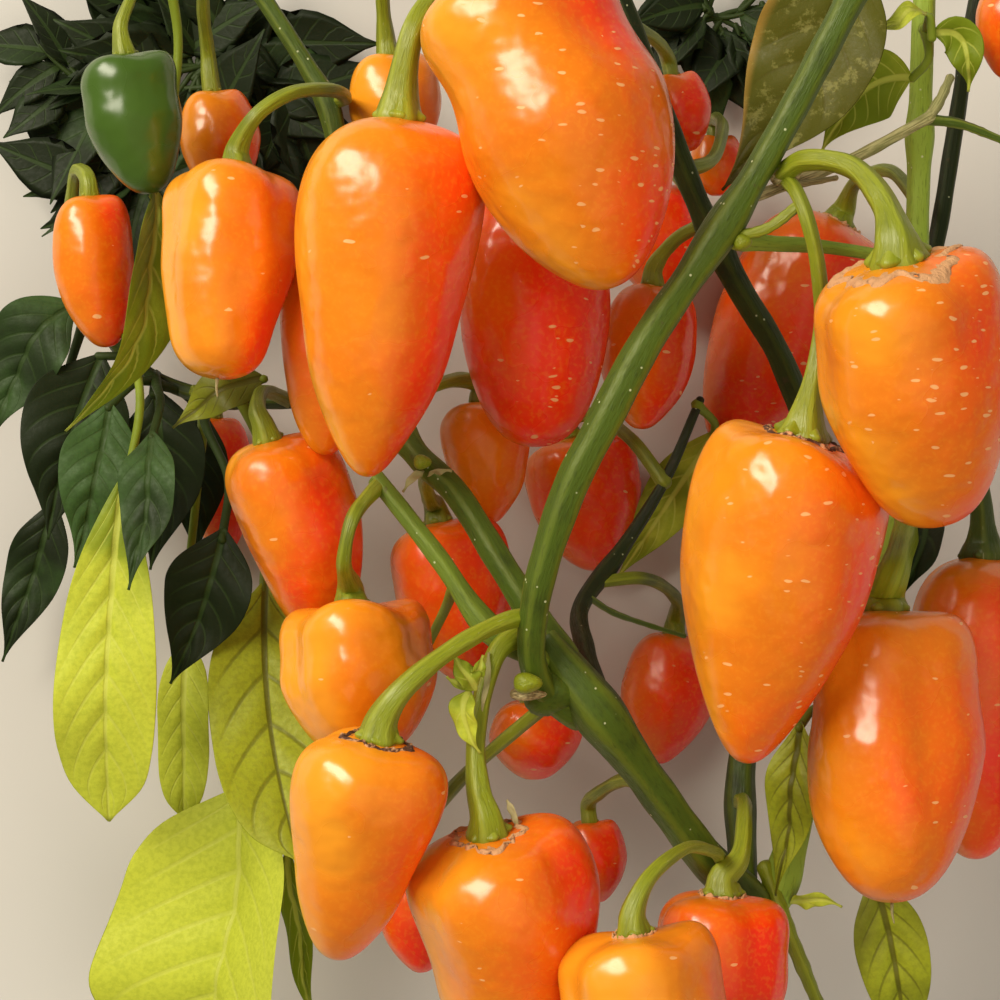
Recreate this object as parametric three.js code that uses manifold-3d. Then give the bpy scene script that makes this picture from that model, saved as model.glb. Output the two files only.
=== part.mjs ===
import * as THREE from 'three';
import { mergeVertices } from 'three/addons/utils/BufferGeometryUtils.js';
import Module from 'manifold-3d';

// A fruiting branch of an orange chilli pepper, cut from the plant and laid on its back.
// Millimetres, +Z up. The branch lies on the level plane z = 0, its cut end towards -Y.

const wasm = await Module();
wasm.setup();

// Driving dimensions
const EYE_HEIGHT = 600;            // the picture looks straight down from this height
const PICTURE_FOCAL = 2649;        // picture units seen in one unit of distance
const PICTURE_MIDDLE = 500;        // the picture is 1000 units wide and high
const CENTRE_X = -0.7;             // brings the middle of the whole branch over the origin
const CENTRE_Y = 1.7;
const CUT_GAP = 0.3;               // a stalk or shoot stops this far from what carries it
const STALK_RADIUS = 1.15;
const CALYX_RADIUS = 3.6;          // on a fruit of CALYX_FRUIT width or more
const CALYX_FRUIT = 30;
const STALK_RISE = 3.5;            // a stalk meets its fruit in line with it from this far
const STALK_DEPTH = 2;             // and goes this far into the fruit
const PETIOLE_RADIUS = 0.9;
const SHOOT_RADIUS = 1.2;
const BLADE_THICKNESS = 1.6;
const BLADE_END = 0.6;             // half width of a blade at its two ends
const BLADE_CELLS = 4;

// Colours of the parts
const COLOURS = {
  ripe: 0xf2701a, deep: 0xd2401c, unripe: 0x1f5a2a, limb: 0x3f7427, dim_limb: 0x24401f,
  bright_leaf: 0x86a83a, olive_leaf: 0x6d7430, dark_leaf: 0x1c331d,
};

// A place seen at (px, py) in the picture that lies z above the ground
function at(px, py, z) {
  const scale = (EYE_HEIGHT - z) / PICTURE_FOCAL;
  return new THREE.Vector3(
    (px - PICTURE_MIDDLE) * scale + CENTRE_X,
    (PICTURE_MIDDLE - py) * scale + CENTRE_Y,
    z,
  );
}

const route = (places) => places.map(([px, py, z]) => at(px, py, z));

// Closed geometry to a solid, and back
function solidOf(geometry) {
  geometry.deleteAttribute('normal');
  geometry.deleteAttribute('uv');
  const merged = mergeVertices(geometry, 1e-3);
  return new wasm.Manifold(new wasm.Mesh({
    numProp: 3,
    vertProperties: Float32Array.from(merged.attributes.position.array),
    triVerts: Uint32Array.from(merged.index.array),
  }));
}

function geometryOf(solid) {
  const mesh = solid.getMesh();
  const geometry = new THREE.BufferGeometry();
  geometry.setAttribute('position', new THREE.BufferAttribute(mesh.vertProperties, 3));
  geometry.setIndex(new THREE.BufferAttribute(mesh.triVerts, 1));
  geometry.computeVertexNormals();
  return geometry;
}

const largest = (solid) => solid.decompose().sort((a, b) => b.volume() - a.volume())[0];

// A closed round bar along a smooth curve; radiusAt gives its radius from start (0) to end (1)
function barSolid(points, radiusAt, sides, steps) {
  const curve = new THREE.CatmullRomCurve3(points, false, 'centripetal');
  const frames = curve.computeFrenetFrames(steps, false);
  const geometry = new THREE.CylinderGeometry(1, 1, 1, sides, steps, false);
  const position = geometry.attributes.position;
  for (let i = 0; i < position.count; i += 1) {
    const along = position.getY(i) + 0.5;
    const step = Math.round(along * steps);
    const radius = radiusAt(along);
    const point = curve.getPointAt(along)
      .addScaledVector(frames.normals[step], -position.getX(i) * radius)
      .addScaledVector(frames.binormals[step], position.getZ(i) * radius);
    position.setXYZ(i, point.x, point.y, point.z);
  }
  return solidOf(geometry);
}

// A smooth value between evenly spaced stations, at a share v of the way along them
function between(stations, v) {
  const place = v * (stations.length - 1);
  const i = Math.min(stations.length - 2, Math.floor(place));
  const t = place - i;
  const [b, c] = [stations[i], stations[i + 1]];
  const a = stations[i - 1] ?? 2 * b - c;
  const d = stations[i + 2] ?? 2 * c - b;
  return b + 0.5 * t * (c - a + t * (2 * a - 5 * b + 4 * c - d + t * (3 * (b - c) + d - a)));
}

// Girths: how far a fruit is wider than an ellipse of its width, at five stations from its
// crown to its tip. The ellipse rounds off both ends.
const GIRTHS = {
  long: [1.5, 1.13, 0.97, 0.87, 0.75],
  plump: [1.7, 1.15, 0.96, 0.82, 0.68],
  blunt: [1.75, 1.13, 0.99, 0.88, 0.88],
  pear: [1.2, 1.04, 1.0, 0.96, 1.0],
  pointed: [1.6, 1.155, 0.89, 0.76, 0.45],
  waisted: [1.5, 1.155, 0.72, 0.635, 0.55],
  stout: [1.6, 1.14, 0.82, 0.72, 0.7],
  small: [1.4, 1.1, 1.0, 0.85, 0.6],
};

function fruitAxis(f) {
  const crown = at(f.crown[0], f.crown[1], f.z + f.lean / 2);
  const tip = at(f.tip[0], f.tip[1], f.z - f.lean / 2);
  const axis = tip.clone().sub(crown);
  const length = axis.length();
  return { crown, axis: axis.normalize(), length };
}

// A fruit from its crown to its tip, bowed to one side and a little lobed at the shoulder
function fruitSolid(f) {
  const { crown, axis, length } = fruitAxis(f);
  const side = new THREE.Vector3(0, 0, 1).cross(axis).normalize();
  const front = axis.clone().cross(side);
  const geometry = new THREE.SphereGeometry(1, f.front ? 9 : 7, f.front ? 6 : 5);
  const position = geometry.attributes.position;
  for (let i = 0; i < position.count; i += 1) {
    const v = (1 - position.getY(i)) / 2;
    const turn = Math.atan2(position.getZ(i), position.getX(i));
    const ellipse = Math.hypot(position.getX(i), position.getZ(i));
    const lobes = 1 + f.lobe * Math.cos(3 * turn + f.phase) * (1 - v);
    const radius = (f.width / 2) * ellipse * between(GIRTHS[f.girth], v) * lobes;
    const bow = f.bend * Math.sin(Math.PI * v);
    const point = crown.clone()
      .addScaledVector(axis, v * length)
      .addScaledVector(side, radius * Math.cos(turn) + bow)
      .addScaledVector(front, radius * Math.sin(turn) * f.depth);
    position.setXYZ(i, point.x, point.y, point.z);
  }
  return solidOf(geometry);
}

// The stalk from the bearing limb to the crown, flaring into the calyx
function stalkSolid(f, lift) {
  const { crown, axis } = fruitAxis(f);
  crown.z += lift;
  const calyx = f.calyx ?? CALYX_RADIUS * Math.min(1, f.width / CALYX_FRUIT);
  const thick = f.stalkRadius ?? STALK_RADIUS;
  const points = [
    ...route(f.stalk),
    crown.clone().addScaledVector(axis, -STALK_RISE),
    crown,
    crown.clone().addScaledVector(axis, STALK_DEPTH),
  ];
  const flare = (along) => thick + (calyx - thick) * along ** 7;
  return barSolid(points, flare, f.front ? 5 : 4, 5);
}

// A leaf blade: an ovate outline along a bent midrib, folded a little along it
function bladeSolid(l) {
  const curve = new THREE.QuadraticBezierCurve3(at(...l.base), at(...l.middle), at(...l.tip));
  const geometry = new THREE.BoxGeometry(1, 1, 1, BLADE_CELLS, 2, 1);
  const position = geometry.attributes.position;
  for (let i = 0; i < position.count; i += 1) {
    const u = position.getX(i) + 0.5;
    const across = position.getY(i) * 2;
    const tangent = curve.getTangentAt(u);
    const side = new THREE.Vector3(0, 0, 1).cross(tangent).normalize();
    side.applyAxisAngle(tangent, THREE.MathUtils.degToRad(l.roll));
    const normal = tangent.clone().cross(side).normalize();
    const half = Math.max(BLADE_END, (l.width / 2) * Math.sin(Math.PI * u ** 0.8) ** 0.8);
    const fold = l.fold * Math.abs(across) * half;
    const point = curve.getPointAt(u)
      .addScaledVector(side, across * half)
      .addScaledVector(normal, fold + position.getZ(i) * BLADE_THICKNESS);
    position.setXYZ(i, point.x, point.y, point.z);
  }
  return solidOf(geometry);
}

const shootSolid = (places, radius) => barSolid(route(places), () => radius, 4, 2);

// Limbs, each from its foot to its tip, with the radius at both. on names the limb that it
// grows from: its foot lies inside that limb.
const LIMBS = {
  main_stem: {
    places: [[742, 1085, 38], [750, 985, 44], [745, 905, 56], [700, 850, 70], [640, 765, 80],
      [590, 690, 85], [545, 625, 86]],
    foot: 4.8, tip: 4.0, sides: 8, steps: 10, colour: 'limb',
  },
  front_bough: {
    on: 'main_stem',
    places: [[531, 690, 91], [535, 625, 97], [545, 560, 102], [574, 480, 105], [600, 430, 106],
      [645, 345, 106], [700, 262, 104], [742, 198, 104], [790, 115, 105], [850, 0, 107],
      [878, -55, 108]],
    foot: 3.2, tip: 2.6, sides: 7, steps: 14, colour: 'limb',
  },
  upper_left_stem: {
    on: 'main_stem',
    places: [[550, 632, 86], [500, 562, 82], [455, 492, 76], [418, 456, 70], [385, 400, 60],
      [350, 240, 54], [329, 107, 54], [306, 64, 54], [265, 0, 54], [238, -42, 54]],
    foot: 2.9, tip: 1.7, sides: 6, steps: 12, colour: 'limb',
  },
  left_shoot: {
    on: 'main_stem',
    places: [[540, 660, 88], [492, 632, 88], [440, 560, 86], [400, 508, 83], [376, 478, 80]],
    foot: 2.3, tip: 1.7, sides: 6, steps: 6, colour: 'limb',
  },
  lower_back_bough: {
    on: 'main_stem',
    places: [[745, 905, 54], [742, 850, 50], [741, 770, 46], [765, 640, 44], [795, 520, 44],
      [808, 425, 46]],
    foot: 2.8, tip: 2.6, sides: 6, steps: 7, colour: 'dim_limb',
  },
  upper_back_bough: {
    on: 'lower_back_bough',
    places: [[808, 428, 46], [776, 350, 48], [740, 290, 50], [712, 235, 52], [680, 160, 54],
      [650, 80, 55], [620, 0, 56], [598, -50, 57]],
    foot: 2.6, tip: 2.4, sides: 6, steps: 6, colour: 'dim_limb',
  },
  top_shoot: {
    on: 'upper_back_bough',
    places: [[604, -36, 57], [572, -78, 66], [520, -100, 74], [455, -92, 74], [385, -62, 66]],
    foot: 2.2, tip: 1.4, sides: 6, steps: 6, colour: 'limb',
  },
  dark_shoot: {
    on: 'main_stem',
    places: [[600, 705, 84], [585, 650, 66], [582, 605, 48], [620, 552, 40], [665, 480, 37],
      [700, 400, 36]],
    foot: 2.4, tip: 1.8, sides: 6, steps: 7, colour: 'dim_limb',
  },
  right_bough: {
    on: 'main_stem',
    places: [[752, 960, 46], [782, 880, 54], [806, 790, 54], [840, 690, 52], [884, 560, 54],
      [908, 430, 56], [917, 240, 58], [922, 60, 60], [926, -35, 62]],
    foot: 3.2, tip: 2.2, sides: 6, steps: 11, colour: 'limb',
  },
  dark_right_shoot: {
    on: 'right_bough',
    places: [[914, 320, 57], [936, 245, 50], [952, 150, 48], [966, 60, 50], [980, -25, 52]],
    foot: 2.0, tip: 1.5, sides: 6, steps: 5, colour: 'dim_limb',
  },
  left_bough: {
    on: 'upper_left_stem',
    places: [[378, 380, 59], [330, 396, 48], [260, 400, 38], [190, 392, 32], [130, 360, 30],
      [92, 290, 30], [70, 200, 32]],
    foot: 2.0, tip: 1.3, sides: 6, steps: 8, colour: 'dim_limb',
  },
  top_left_shoot: {
    on: 'upper_left_stem',
    places: [[258, -12, 54], [215, -36, 58], [160, -40, 62], [105, -30, 62]],
    foot: 1.6, tip: 1.2, sides: 6, steps: 4, colour: 'dim_limb',
  },
  side_shoot: {
    on: 'front_bough',
    places: [[722, 236, 103], [765, 243, 99], [815, 246, 95], [862, 252, 92]],
    foot: 1.7, tip: 1.1, sides: 6, steps: 3, colour: 'limb',
  },
};

// Fruits: crown and tip as seen, z of the middle, width in millimetres, and the stalk's route
// from the limb that bears it. lean is how much higher the crown lies than the tip, and bend
// how far the fruit bows to one side. A fruit that rests lies on the ground.
const FRUIT = {
  lean: 0, bend: 0, lobe: 0.04, phase: 0, depth: 0.95, girth: 'small', front: false,
  colour: 'deep', rests: false,
};
const FRUITS = {
  fruit_01: {
    crown: [125, 56], tip: [153, 196], z: 72, width: 20, bend: -1, front: true, colour: 'unripe',
    girth: 'long',
    on: 'top_left_shoot', stalk: [[140, -38, 62], [132, -5, 70], [121, 25, 72]], stalkRadius: 0.9,
  },
  fruit_02: {
    crown: [90, 196], tip: [108, 350], z: 50, width: 17, bend: -1, girth: 'long', colour: 'ripe',
    on: 'left_bough', stalk: [[72, 205, 32], [76, 172, 40]],
  },
  fruit_03: {
    crown: [236, 168], tip: [217, 381], z: 84, width: 26.5, front: true, colour: 'ripe',
    girth: 'long',
    on: 'upper_left_stem', stalk: [[326, 100, 54], [335, 92, 66], [293, 94, 78], [255, 115, 84]],
  },
  fruit_04: {
    crown: [212, 92], tip: [228, 205], z: 42, width: 16.5,
    on: 'top_left_shoot', stalk: [[205, -37, 58], [203, 10, 48], [208, 55, 42]],
  },
  fruit_05: {
    crown: [398, 118], tip: [366, 480], z: 98, width: 36.5, front: true, colour: 'ripe',
    girth: 'pointed', bend: -1.5, lean: 4,
    on: 'top_shoot', stalk: [[487, -97, 74], [455, -30, 92], [413, 30, 102]], stalkRadius: 1.9,
    calyx: 4.6,
  },
  fruit_06: {
    crown: [502, -52], tip: [610, 285], z: 110, width: 41, front: true, colour: 'ripe',
    girth: 'pear', lobe: 0.05,
    on: 'top_shoot', stalk: [[530, -96, 73], [505, -112, 90]], stalkRadius: 1.8, calyx: 4.6,
  },
  fruit_07: {
    crown: [388, 56], tip: [402, 165], z: 50, width: 19.5, colour: 'ripe',
    on: 'top_shoot', stalk: [[388, -63, 66], [382, -20, 56]],
  },
  fruit_08: {
    crown: [526, 178], tip: [538, 450], z: 60, width: 31, girth: 'pear',
    on: 'upper_back_bough', stalk: [[654, 90, 55], [600, 100, 64], [545, 130, 62]],
  },
  fruit_09: {
    crown: [652, 285], tip: [640, 432], z: 42, width: 20.5, colour: 'ripe',
    on: 'upper_back_bough', stalk: [[706, 222, 52], [675, 240, 46]],
  },
  fruit_10: {
    crown: [318, 262], tip: [326, 458], z: 72, width: 19, colour: 'ripe', girth: 'long', bend: 1,
    on: 'upper_left_stem', stalk: [[347, 225, 54], [326, 228, 66]],
  },
  fruit_12: {
    crown: [480, 402], tip: [484, 522], z: 36, width: 19,
    on: 'upper_left_stem', stalk: [[392, 415, 62], [430, 388, 52], [465, 380, 42]],
  },
  fruit_13: {
    crown: [572, 440], tip: [586, 575], z: 12, width: 25.5, rests: true,
    on: 'dark_shoot', stalk: [[664, 482, 37], [632, 440, 34], [590, 415, 20]],
  },
  fruit_14: {
    crown: [268, 440], tip: [328, 645], z: 62, width: 24.5, front: true, colour: 'ripe',
    girth: 'plump', bend: 1.5, lean: 8,
    on: 'left_bough', stalk: [[288, 400, 42], [262, 392, 58], [258, 412, 66]],
  },
  fruit_15: {
    crown: [214, 418], tip: [224, 558], z: 8, width: 15.5, rests: true,
    on: 'left_bough', stalk: [[196, 392, 33], [205, 392, 20]],
  },
  fruit_16: {
    crown: [438, 522], tip: [472, 684], z: 44, width: 25.5, front: true, girth: 'plump',
    on: 'upper_left_stem', stalk: [[432, 470, 72], [425, 480, 60], [430, 500, 50]],
  },
  fruit_17: {
    crown: [352, 606], tip: [366, 762], z: 80, width: 29.5, front: true, colour: 'ripe',
    girth: 'blunt', lobe: 0.08,
    on: 'left_shoot', stalk: [[380, 483, 80], [352, 520, 91], [344, 560, 90]],
  },
  fruit_18: {
    crown: [378, 738], tip: [334, 961], z: 103, width: 31, front: true, colour: 'ripe',
    girth: 'waisted', calyx: 4, lean: 4,
    on: 'front_bough', stalk: [[534, 608, 98], [505, 620, 104], [450, 650, 108], [398, 694, 108]],
    stalkRadius: 1.5,
  },
  fruit_19: {
    crown: [488, 834], tip: [512, 1062], z: 96, width: 36, front: true, colour: 'ripe',
    girth: 'stout', lobe: 0.06, calyx: 4,
    on: 'left_shoot', stalk: [[500, 640, 88], [480, 680, 94], [476, 743, 98], [480, 795, 98]],
    stalkRadius: 1.5,
  },
  fruit_20: {
    crown: [408, 866], tip: [424, 975], z: 48, width: 15.5,
    on: 'main_stem', stalk: [[580, 678, 85], [540, 710, 74], [460, 780, 60], [415, 835, 52]],
  },
  fruit_21: {
    crown: [532, 702], tip: [536, 782], z: 42, width: 19.5,
    on: 'main_stem', stalk: [[562, 650, 86], [552, 668, 68], [540, 682, 52]],
  },
  fruit_22: {
    crown: [674, 634], tip: [656, 766], z: 10, width: 20.5, rests: true,
    on: 'dark_shoot', stalk: [[597, 582, 44], [640, 578, 40], [676, 598, 22]],
  },
  fruit_23: {
    crown: [590, 822], tip: [598, 905], z: 46, width: 13.5,
    on: 'main_stem', stalk: [[655, 788, 77], [625, 780, 66], [596, 795, 54]],
  },
  fruit_24: {
    crown: [634, 934], tip: [655, 1128], z: 112, width: 30.5, front: true, colour: 'ripe',
    girth: 'blunt', calyx: 3.4,
    on: 'main_stem', stalk: [[703, 858, 68], [704, 850, 88], [684, 852, 102], [652, 880, 110]],
    stalkRadius: 1.5,
  },
  fruit_25: {
    crown: [722, 894], tip: [712, 1080], z: 76, width: 27, front: true, girth: 'blunt',
    on: 'lower_back_bough', stalk: [[741, 800, 47], [744, 812, 66], [738, 860, 75]],
    stalkRadius: 1.7, calyx: 4.4,
  },
  fruit_26: {
    crown: [802, 436], tip: [744, 766], z: 102, width: 38, front: true, colour: 'ripe',
    girth: 'plump', bend: 1, calyx: 4.6,
    on: 'front_bough', stalk: [[765, 160, 104], [793, 192, 106], [820, 250, 102], [818, 340, 98]],
    stalkRadius: 1.6,
  },
  fruit_27: {
    crown: [898, 260], tip: [938, 528], z: 118, width: 35.5, front: true, colour: 'ripe',
    girth: 'blunt', lobe: 0.06, calyx: 4.6,
    on: 'front_bough', stalk: [[782, 130, 105], [805, 164, 108], [850, 172, 112], [884, 208, 116]],
    stalkRadius: 2.0,
  },
  fruit_28: {
    crown: [884, 612], tip: [892, 906], z: 84, width: 34, front: true, colour: 'ripe',
    girth: 'long',
    on: 'right_bough', stalk: [[905, 450, 56], [906, 515, 68], [890, 575, 82]],
    stalkRadius: 2.0, calyx: 4.4,
  },
  fruit_29: {
    crown: [982, 556], tip: [974, 862], z: 54, width: 30.5, front: true, girth: 'long',
    on: 'right_bough', stalk: [[910, 400, 56], [950, 425, 60], [977, 480, 60]],
    stalkRadius: 1.7, calyx: 4.4,
  },
  fruit_30: {
    crown: [838, 222], tip: [724, 456], z: 17, width: 34, front: true, rests: true, girth: 'plump',
    on: 'right_bough', stalk: [[918, 200, 58], [892, 172, 46], [856, 182, 26]],
  },
  fruit_32: {
    crown: [1030, -32], tip: [1006, 82], z: 72, width: 17.5, colour: 'ripe',
    on: 'dark_right_shoot', stalk: [[977, -12, 52], [1004, -54, 66]],
  },
  fruit_33: {
    crown: [672, 76], tip: [690, 154], z: 40, width: 13,
    on: 'upper_back_bough', stalk: [[630, 25, 56], [655, 40, 48]],
  },
  fruit_34: {
    crown: [714, 138], tip: [718, 198], z: 22, width: 12,
    on: 'upper_back_bough', stalk: [[684, 170, 54], [712, 160, 46], [722, 126, 34]],
  },
  fruit_35: {
    crown: [650, 188], tip: [668, 305], z: 10, width: 20.5, rests: true,
    on: 'upper_back_bough', stalk: [[702, 210, 53], [672, 172, 30]],
  },
};

// Leaves: base, middle and tip of each midrib as seen, width in millimetres, roll and fold.
// Each named spray is one solid: its petioles and blades, stopped at the limb it grows from.
const LEAF = { roll: 0, fold: 0.12 };
const SPRAYS = {
  mottled_leaf: {
    on: 'front_bough', colour: 'olive_leaf',
    petioles: [[[872, -42, 107], [862, -60, 96], [846, -48, 84]]],
    leaves: [{ base: [850, -55, 84], middle: [822, 80, 84], tip: [722, 190, 82], width: 25, roll: 8 }],
  },
  young_top_leaves: {
    on: 'right_bough', colour: 'bright_leaf',
    petioles: [
      [[923, 28, 61], [926, 30, 72], [930, 18, 80], [932, 38, 80]],
      [[926, 30, 72], [928, 60, 74], [912, 78, 73]],
    ],
    leaves: [
      { base: [912, 78, 73], middle: [860, 70, 80], tip: [822, 152, 76], width: 14, roll: -12 },
      { base: [928, 12, 78], middle: [905, 10, 84], tip: [868, 36, 82], width: 5, roll: 40 },
      { base: [932, 34, 79], middle: [975, 20, 82], tip: [968, 92, 76], width: 8, roll: 20 },
    ],
  },
  edge_on_leaf: {
    on: 'top_left_shoot', colour: 'bright_leaf',
    petioles: [[[165, -40, 62], [178, 40, 58], [170, 120, 60], [153, 196, 66]]],
    leaves: [
      { base: [156, 188, 66], middle: [165, 350, 80], tip: [66, 432, 66], width: 15, roll: -55 },
    ],
  },
  far_left_leaves: {
    on: 'left_bough', colour: 'dark_leaf',
    petioles: [
      [[96, 300, 30], [84, 318, 36], [70, 312, 40]],
      [[86, 314, 35], [62, 400, 26], [55, 505, 24]],
    ],
    leaves: [
      { base: [76, 315, 40], middle: [25, 330, 42], tip: [-8, 470, 34], width: 19, roll: 10 },
      { base: [55, 500, 24], middle: [40, 560, 26], tip: [2, 662, 18], width: 13, roll: 0 },
    ],
  },
  dark_left_leaves: {
    on: 'left_bough', colour: 'dark_leaf',
    petioles: [
      [[156, 376, 31], [155, 378, 38], [153, 394, 41]],
      [[155, 380, 39], [128, 358, 40], [98, 356, 40]],
    ],
    leaves: [
      { base: [102, 354, 40], middle: [92, 450, 46], tip: [58, 545, 42], width: 20, roll: -8 },
      { base: [155, 388, 40], middle: [164, 480, 38], tip: [146, 570, 34], width: 19, roll: 0 },
    ],
  },
  long_bright_leaf: {
    on: 'left_bough', colour: 'bright_leaf',
    petioles: [[[108, 322, 30], [125, 335, 50], [140, 400, 62], [127, 482, 64]]],
    leaves: [{ base: [128, 474, 64], middle: [92, 640, 70], tip: [102, 824, 56], width: 22, roll: 0 }],
  },
  black_leaf: {
    on: 'left_bough', colour: 'dark_leaf',
    petioles: [
      [[206, 394, 33], [204, 420, 38], [228, 480, 48], [222, 540, 57]],
      [[204, 418, 37], [196, 500, 26], [186, 600, 26], [184, 662, 30]],
    ],
    leaves: [
      { base: [222, 532, 57], middle: [205, 610, 57], tip: [172, 684, 52], width: 16, roll: 0 },
      { base: [185, 655, 30], middle: [182, 740, 34], tip: [190, 818, 28], width: 12, roll: 0 },
    ],
  },
  olive_leaves: {
    on: 'left_bough', colour: 'olive_leaf',
    petioles: [
      [[238, 398, 36], [240, 398, 44], [252, 384, 50], [264, 379, 54]],
      [[240, 398, 44], [262, 450, 42], [266, 530, 39], [263, 592, 42]],
    ],
    leaves: [
      { base: [266, 378, 54], middle: [225, 380, 58], tip: [172, 428, 54], width: 10, roll: 15 },
      { base: [263, 580, 42], middle: [236, 700, 46], tip: [291, 850, 58], width: 23, roll: -8 },
    ],
  },
  bottom_left_leaf: {
    on: 'left_shoot', colour: 'bright_leaf',
    petioles: [
      [[455, 583, 87], [440, 620, 66], [395, 700, 46], [330, 770, 36], [232, 790, 42]],
      [[330, 770, 36], [300, 800, 36], [285, 850, 40]],
    ],
    leaves: [
      { base: [240, 788, 42], middle: [205, 900, 58], tip: [150, 1090, 34], width: 34, roll: 6 },
      { base: [288, 842, 40], middle: [290, 920, 44], tip: [318, 1035, 36], width: 7, roll: 30 },
    ],
  },
  bottom_right_leaf: {
    on: 'right_bough', colour: 'bright_leaf',
    petioles: [[[852, 650, 53], [866, 740, 46], [874, 830, 50], [872, 880, 56]]],
    leaves: [{ base: [872, 872, 56], middle: [900, 960, 60], tip: [908, 1062, 46], width: 16, roll: 10 }],
  },
  lower_middle_leaf: {
    on: 'right_bough', colour: 'bright_leaf',
    petioles: [[[832, 712, 52], [815, 708, 60], [799, 728, 66]]],
    leaves: [{ base: [800, 720, 66], middle: [793, 810, 68], tip: [775, 896, 62], width: 11, roll: 30 }],
  },
  pale_back_leaf: {
    on: 'dark_shoot', colour: 'bright_leaf',
    petioles: [[[697, 405, 36], [714, 422, 28], [714, 436, 22]]],
    leaves: [{ base: [716, 430, 23], middle: [682, 484, 20], tip: [616, 580, 10], width: 13, roll: 0 }],
  },
};

// Dense foliage far behind, lying on the ground: uneven closed masses, each on its own shoot
const MASSES = {
  upper_left_foliage: {
    on: 'top_left_shoot', colour: 'dark_leaf', lumps: 5,
    shoot: [[185, -39, 60], [236, -58, 44], [250, -20, 24], [222, 40, 13]],
    middle: [170, 110, 13], size: [330, 250, 26],
  },
  top_foliage: {
    on: 'upper_back_bough', colour: 'dark_leaf', lumps: 4,
    shoot: [[610, -22, 57], [648, -50, 40], [680, -40, 20], [706, 4, 9]],
    middle: [725, 25, 9], size: [160, 150, 18],
  },
};

// An uneven closed mass, wider than it is thick; size is seen width and height, and thickness
function massSolid(m) {
  const centre = at(...m.middle);
  const scale = (EYE_HEIGHT - m.middle[2]) / PICTURE_FOCAL;
  const geometry = new THREE.SphereGeometry(1, 12, 7);
  const position = geometry.attributes.position;
  for (let i = 0; i < position.count; i += 1) {
    const [x, y, z] = [position.getX(i), position.getY(i), position.getZ(i)];
    const turn = Math.atan2(y, x);
    const bump = 1 + 0.12 * Math.hypot(x, y) * Math.cos(m.lumps * turn + 1)
      + 0.06 * Math.sin(7 * x + 5 * y);
    position.setXYZ(
      i,
      centre.x + (x * m.size[0] * scale * bump) / 2,
      centre.y + (y * m.size[1] * scale * bump) / 2,
      centre.z + (z * m.size[2]) / 2,
    );
  }
  return solidOf(geometry);
}

const taper = (limb, extra = 0) => (along) => limb.foot + (limb.tip - limb.foot) * along + extra;

// The limb a little fatter all round, to cut what stops at it
function clearanceOf(name) {
  const limb = LIMBS[name];
  return barSolid(route(limb.places), taper(limb, CUT_GAP), limb.sides, limb.steps);
}

const group = new THREE.Group();

function place(name, solid, colour, roughness) {
  const material = new THREE.MeshStandardMaterial({ color: COLOURS[colour], roughness, metalness: 0 });
  const mesh = new THREE.Mesh(geometryOf(solid), material);
  mesh.name = name;
  group.add(mesh);
}

for (const [name, limb] of Object.entries(LIMBS)) {
  const whole = barSolid(route(limb.places), taper(limb), limb.sides, limb.steps);
  const solid = limb.on ? largest(whole.subtract(clearanceOf(limb.on))) : whole;
  place(name, solid, limb.colour, 0.6);
}

for (const [name, row] of Object.entries(FRUITS)) {
  const fruit = { ...FRUIT, ...row };
  const body = fruitSolid(fruit);
  const lift = fruit.rests ? -body.boundingBox().min[2] : 0;
  const whole = body.translate([0, 0, lift]).add(stalkSolid(fruit, lift));
  place(name, largest(whole.subtract(clearanceOf(fruit.on))), fruit.colour, 0.25);
}

for (const [name, spray] of Object.entries(SPRAYS)) {
  const shoots = spray.petioles.map((places) => shootSolid(places, PETIOLE_RADIUS));
  const blades = spray.leaves.map((leaf) => bladeSolid({ ...LEAF, ...leaf }));
  const whole = [...shoots, ...blades].reduce((sum, piece) => sum.add(piece));
  place(name, largest(whole.subtract(clearanceOf(spray.on))), spray.colour, 0.5);
}

for (const [name, mass] of Object.entries(MASSES)) {
  const body = massSolid(mass);
  const lowered = body.translate([0, 0, -body.boundingBox().min[2]]);
  const whole = lowered.add(shootSolid(mass.shoot, SHOOT_RADIUS));
  place(name, largest(whole.subtract(clearanceOf(mass.on))), mass.colour, 0.8);
}

export default group;
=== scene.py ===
"""A cut fruiting branch of an orange chilli pepper, lying on its back on a pale floor.

The tables are in millimetres and every mesh is in metres, +Z up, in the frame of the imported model.
"""
import math
from dataclasses import dataclass, replace

import bpy
import numpy as np
from bpy.props import FloatProperty, FloatVectorProperty, PointerProperty
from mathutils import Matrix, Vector


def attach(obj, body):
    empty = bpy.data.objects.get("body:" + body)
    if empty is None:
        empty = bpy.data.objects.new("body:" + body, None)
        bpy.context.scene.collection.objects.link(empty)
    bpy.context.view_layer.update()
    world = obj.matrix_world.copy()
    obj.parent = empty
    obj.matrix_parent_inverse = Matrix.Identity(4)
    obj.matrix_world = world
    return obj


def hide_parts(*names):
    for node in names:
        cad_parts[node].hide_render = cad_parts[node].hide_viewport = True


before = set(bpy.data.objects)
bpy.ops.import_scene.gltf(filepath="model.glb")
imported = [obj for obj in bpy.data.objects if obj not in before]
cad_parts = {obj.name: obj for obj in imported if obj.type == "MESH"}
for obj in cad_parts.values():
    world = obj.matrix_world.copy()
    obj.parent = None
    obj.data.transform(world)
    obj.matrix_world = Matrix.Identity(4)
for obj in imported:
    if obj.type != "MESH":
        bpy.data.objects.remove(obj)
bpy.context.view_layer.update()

bl_info = {
    "name": "Chilli pepper branch",
    "version": (1, 0, 0),
    "blender": (4, 5, 0),
    "location": "View3D > Sidebar > Chilli",
    "description": "Finished skins for a cut, fruiting chilli pepper branch",
    "category": "Add Mesh",
}

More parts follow.
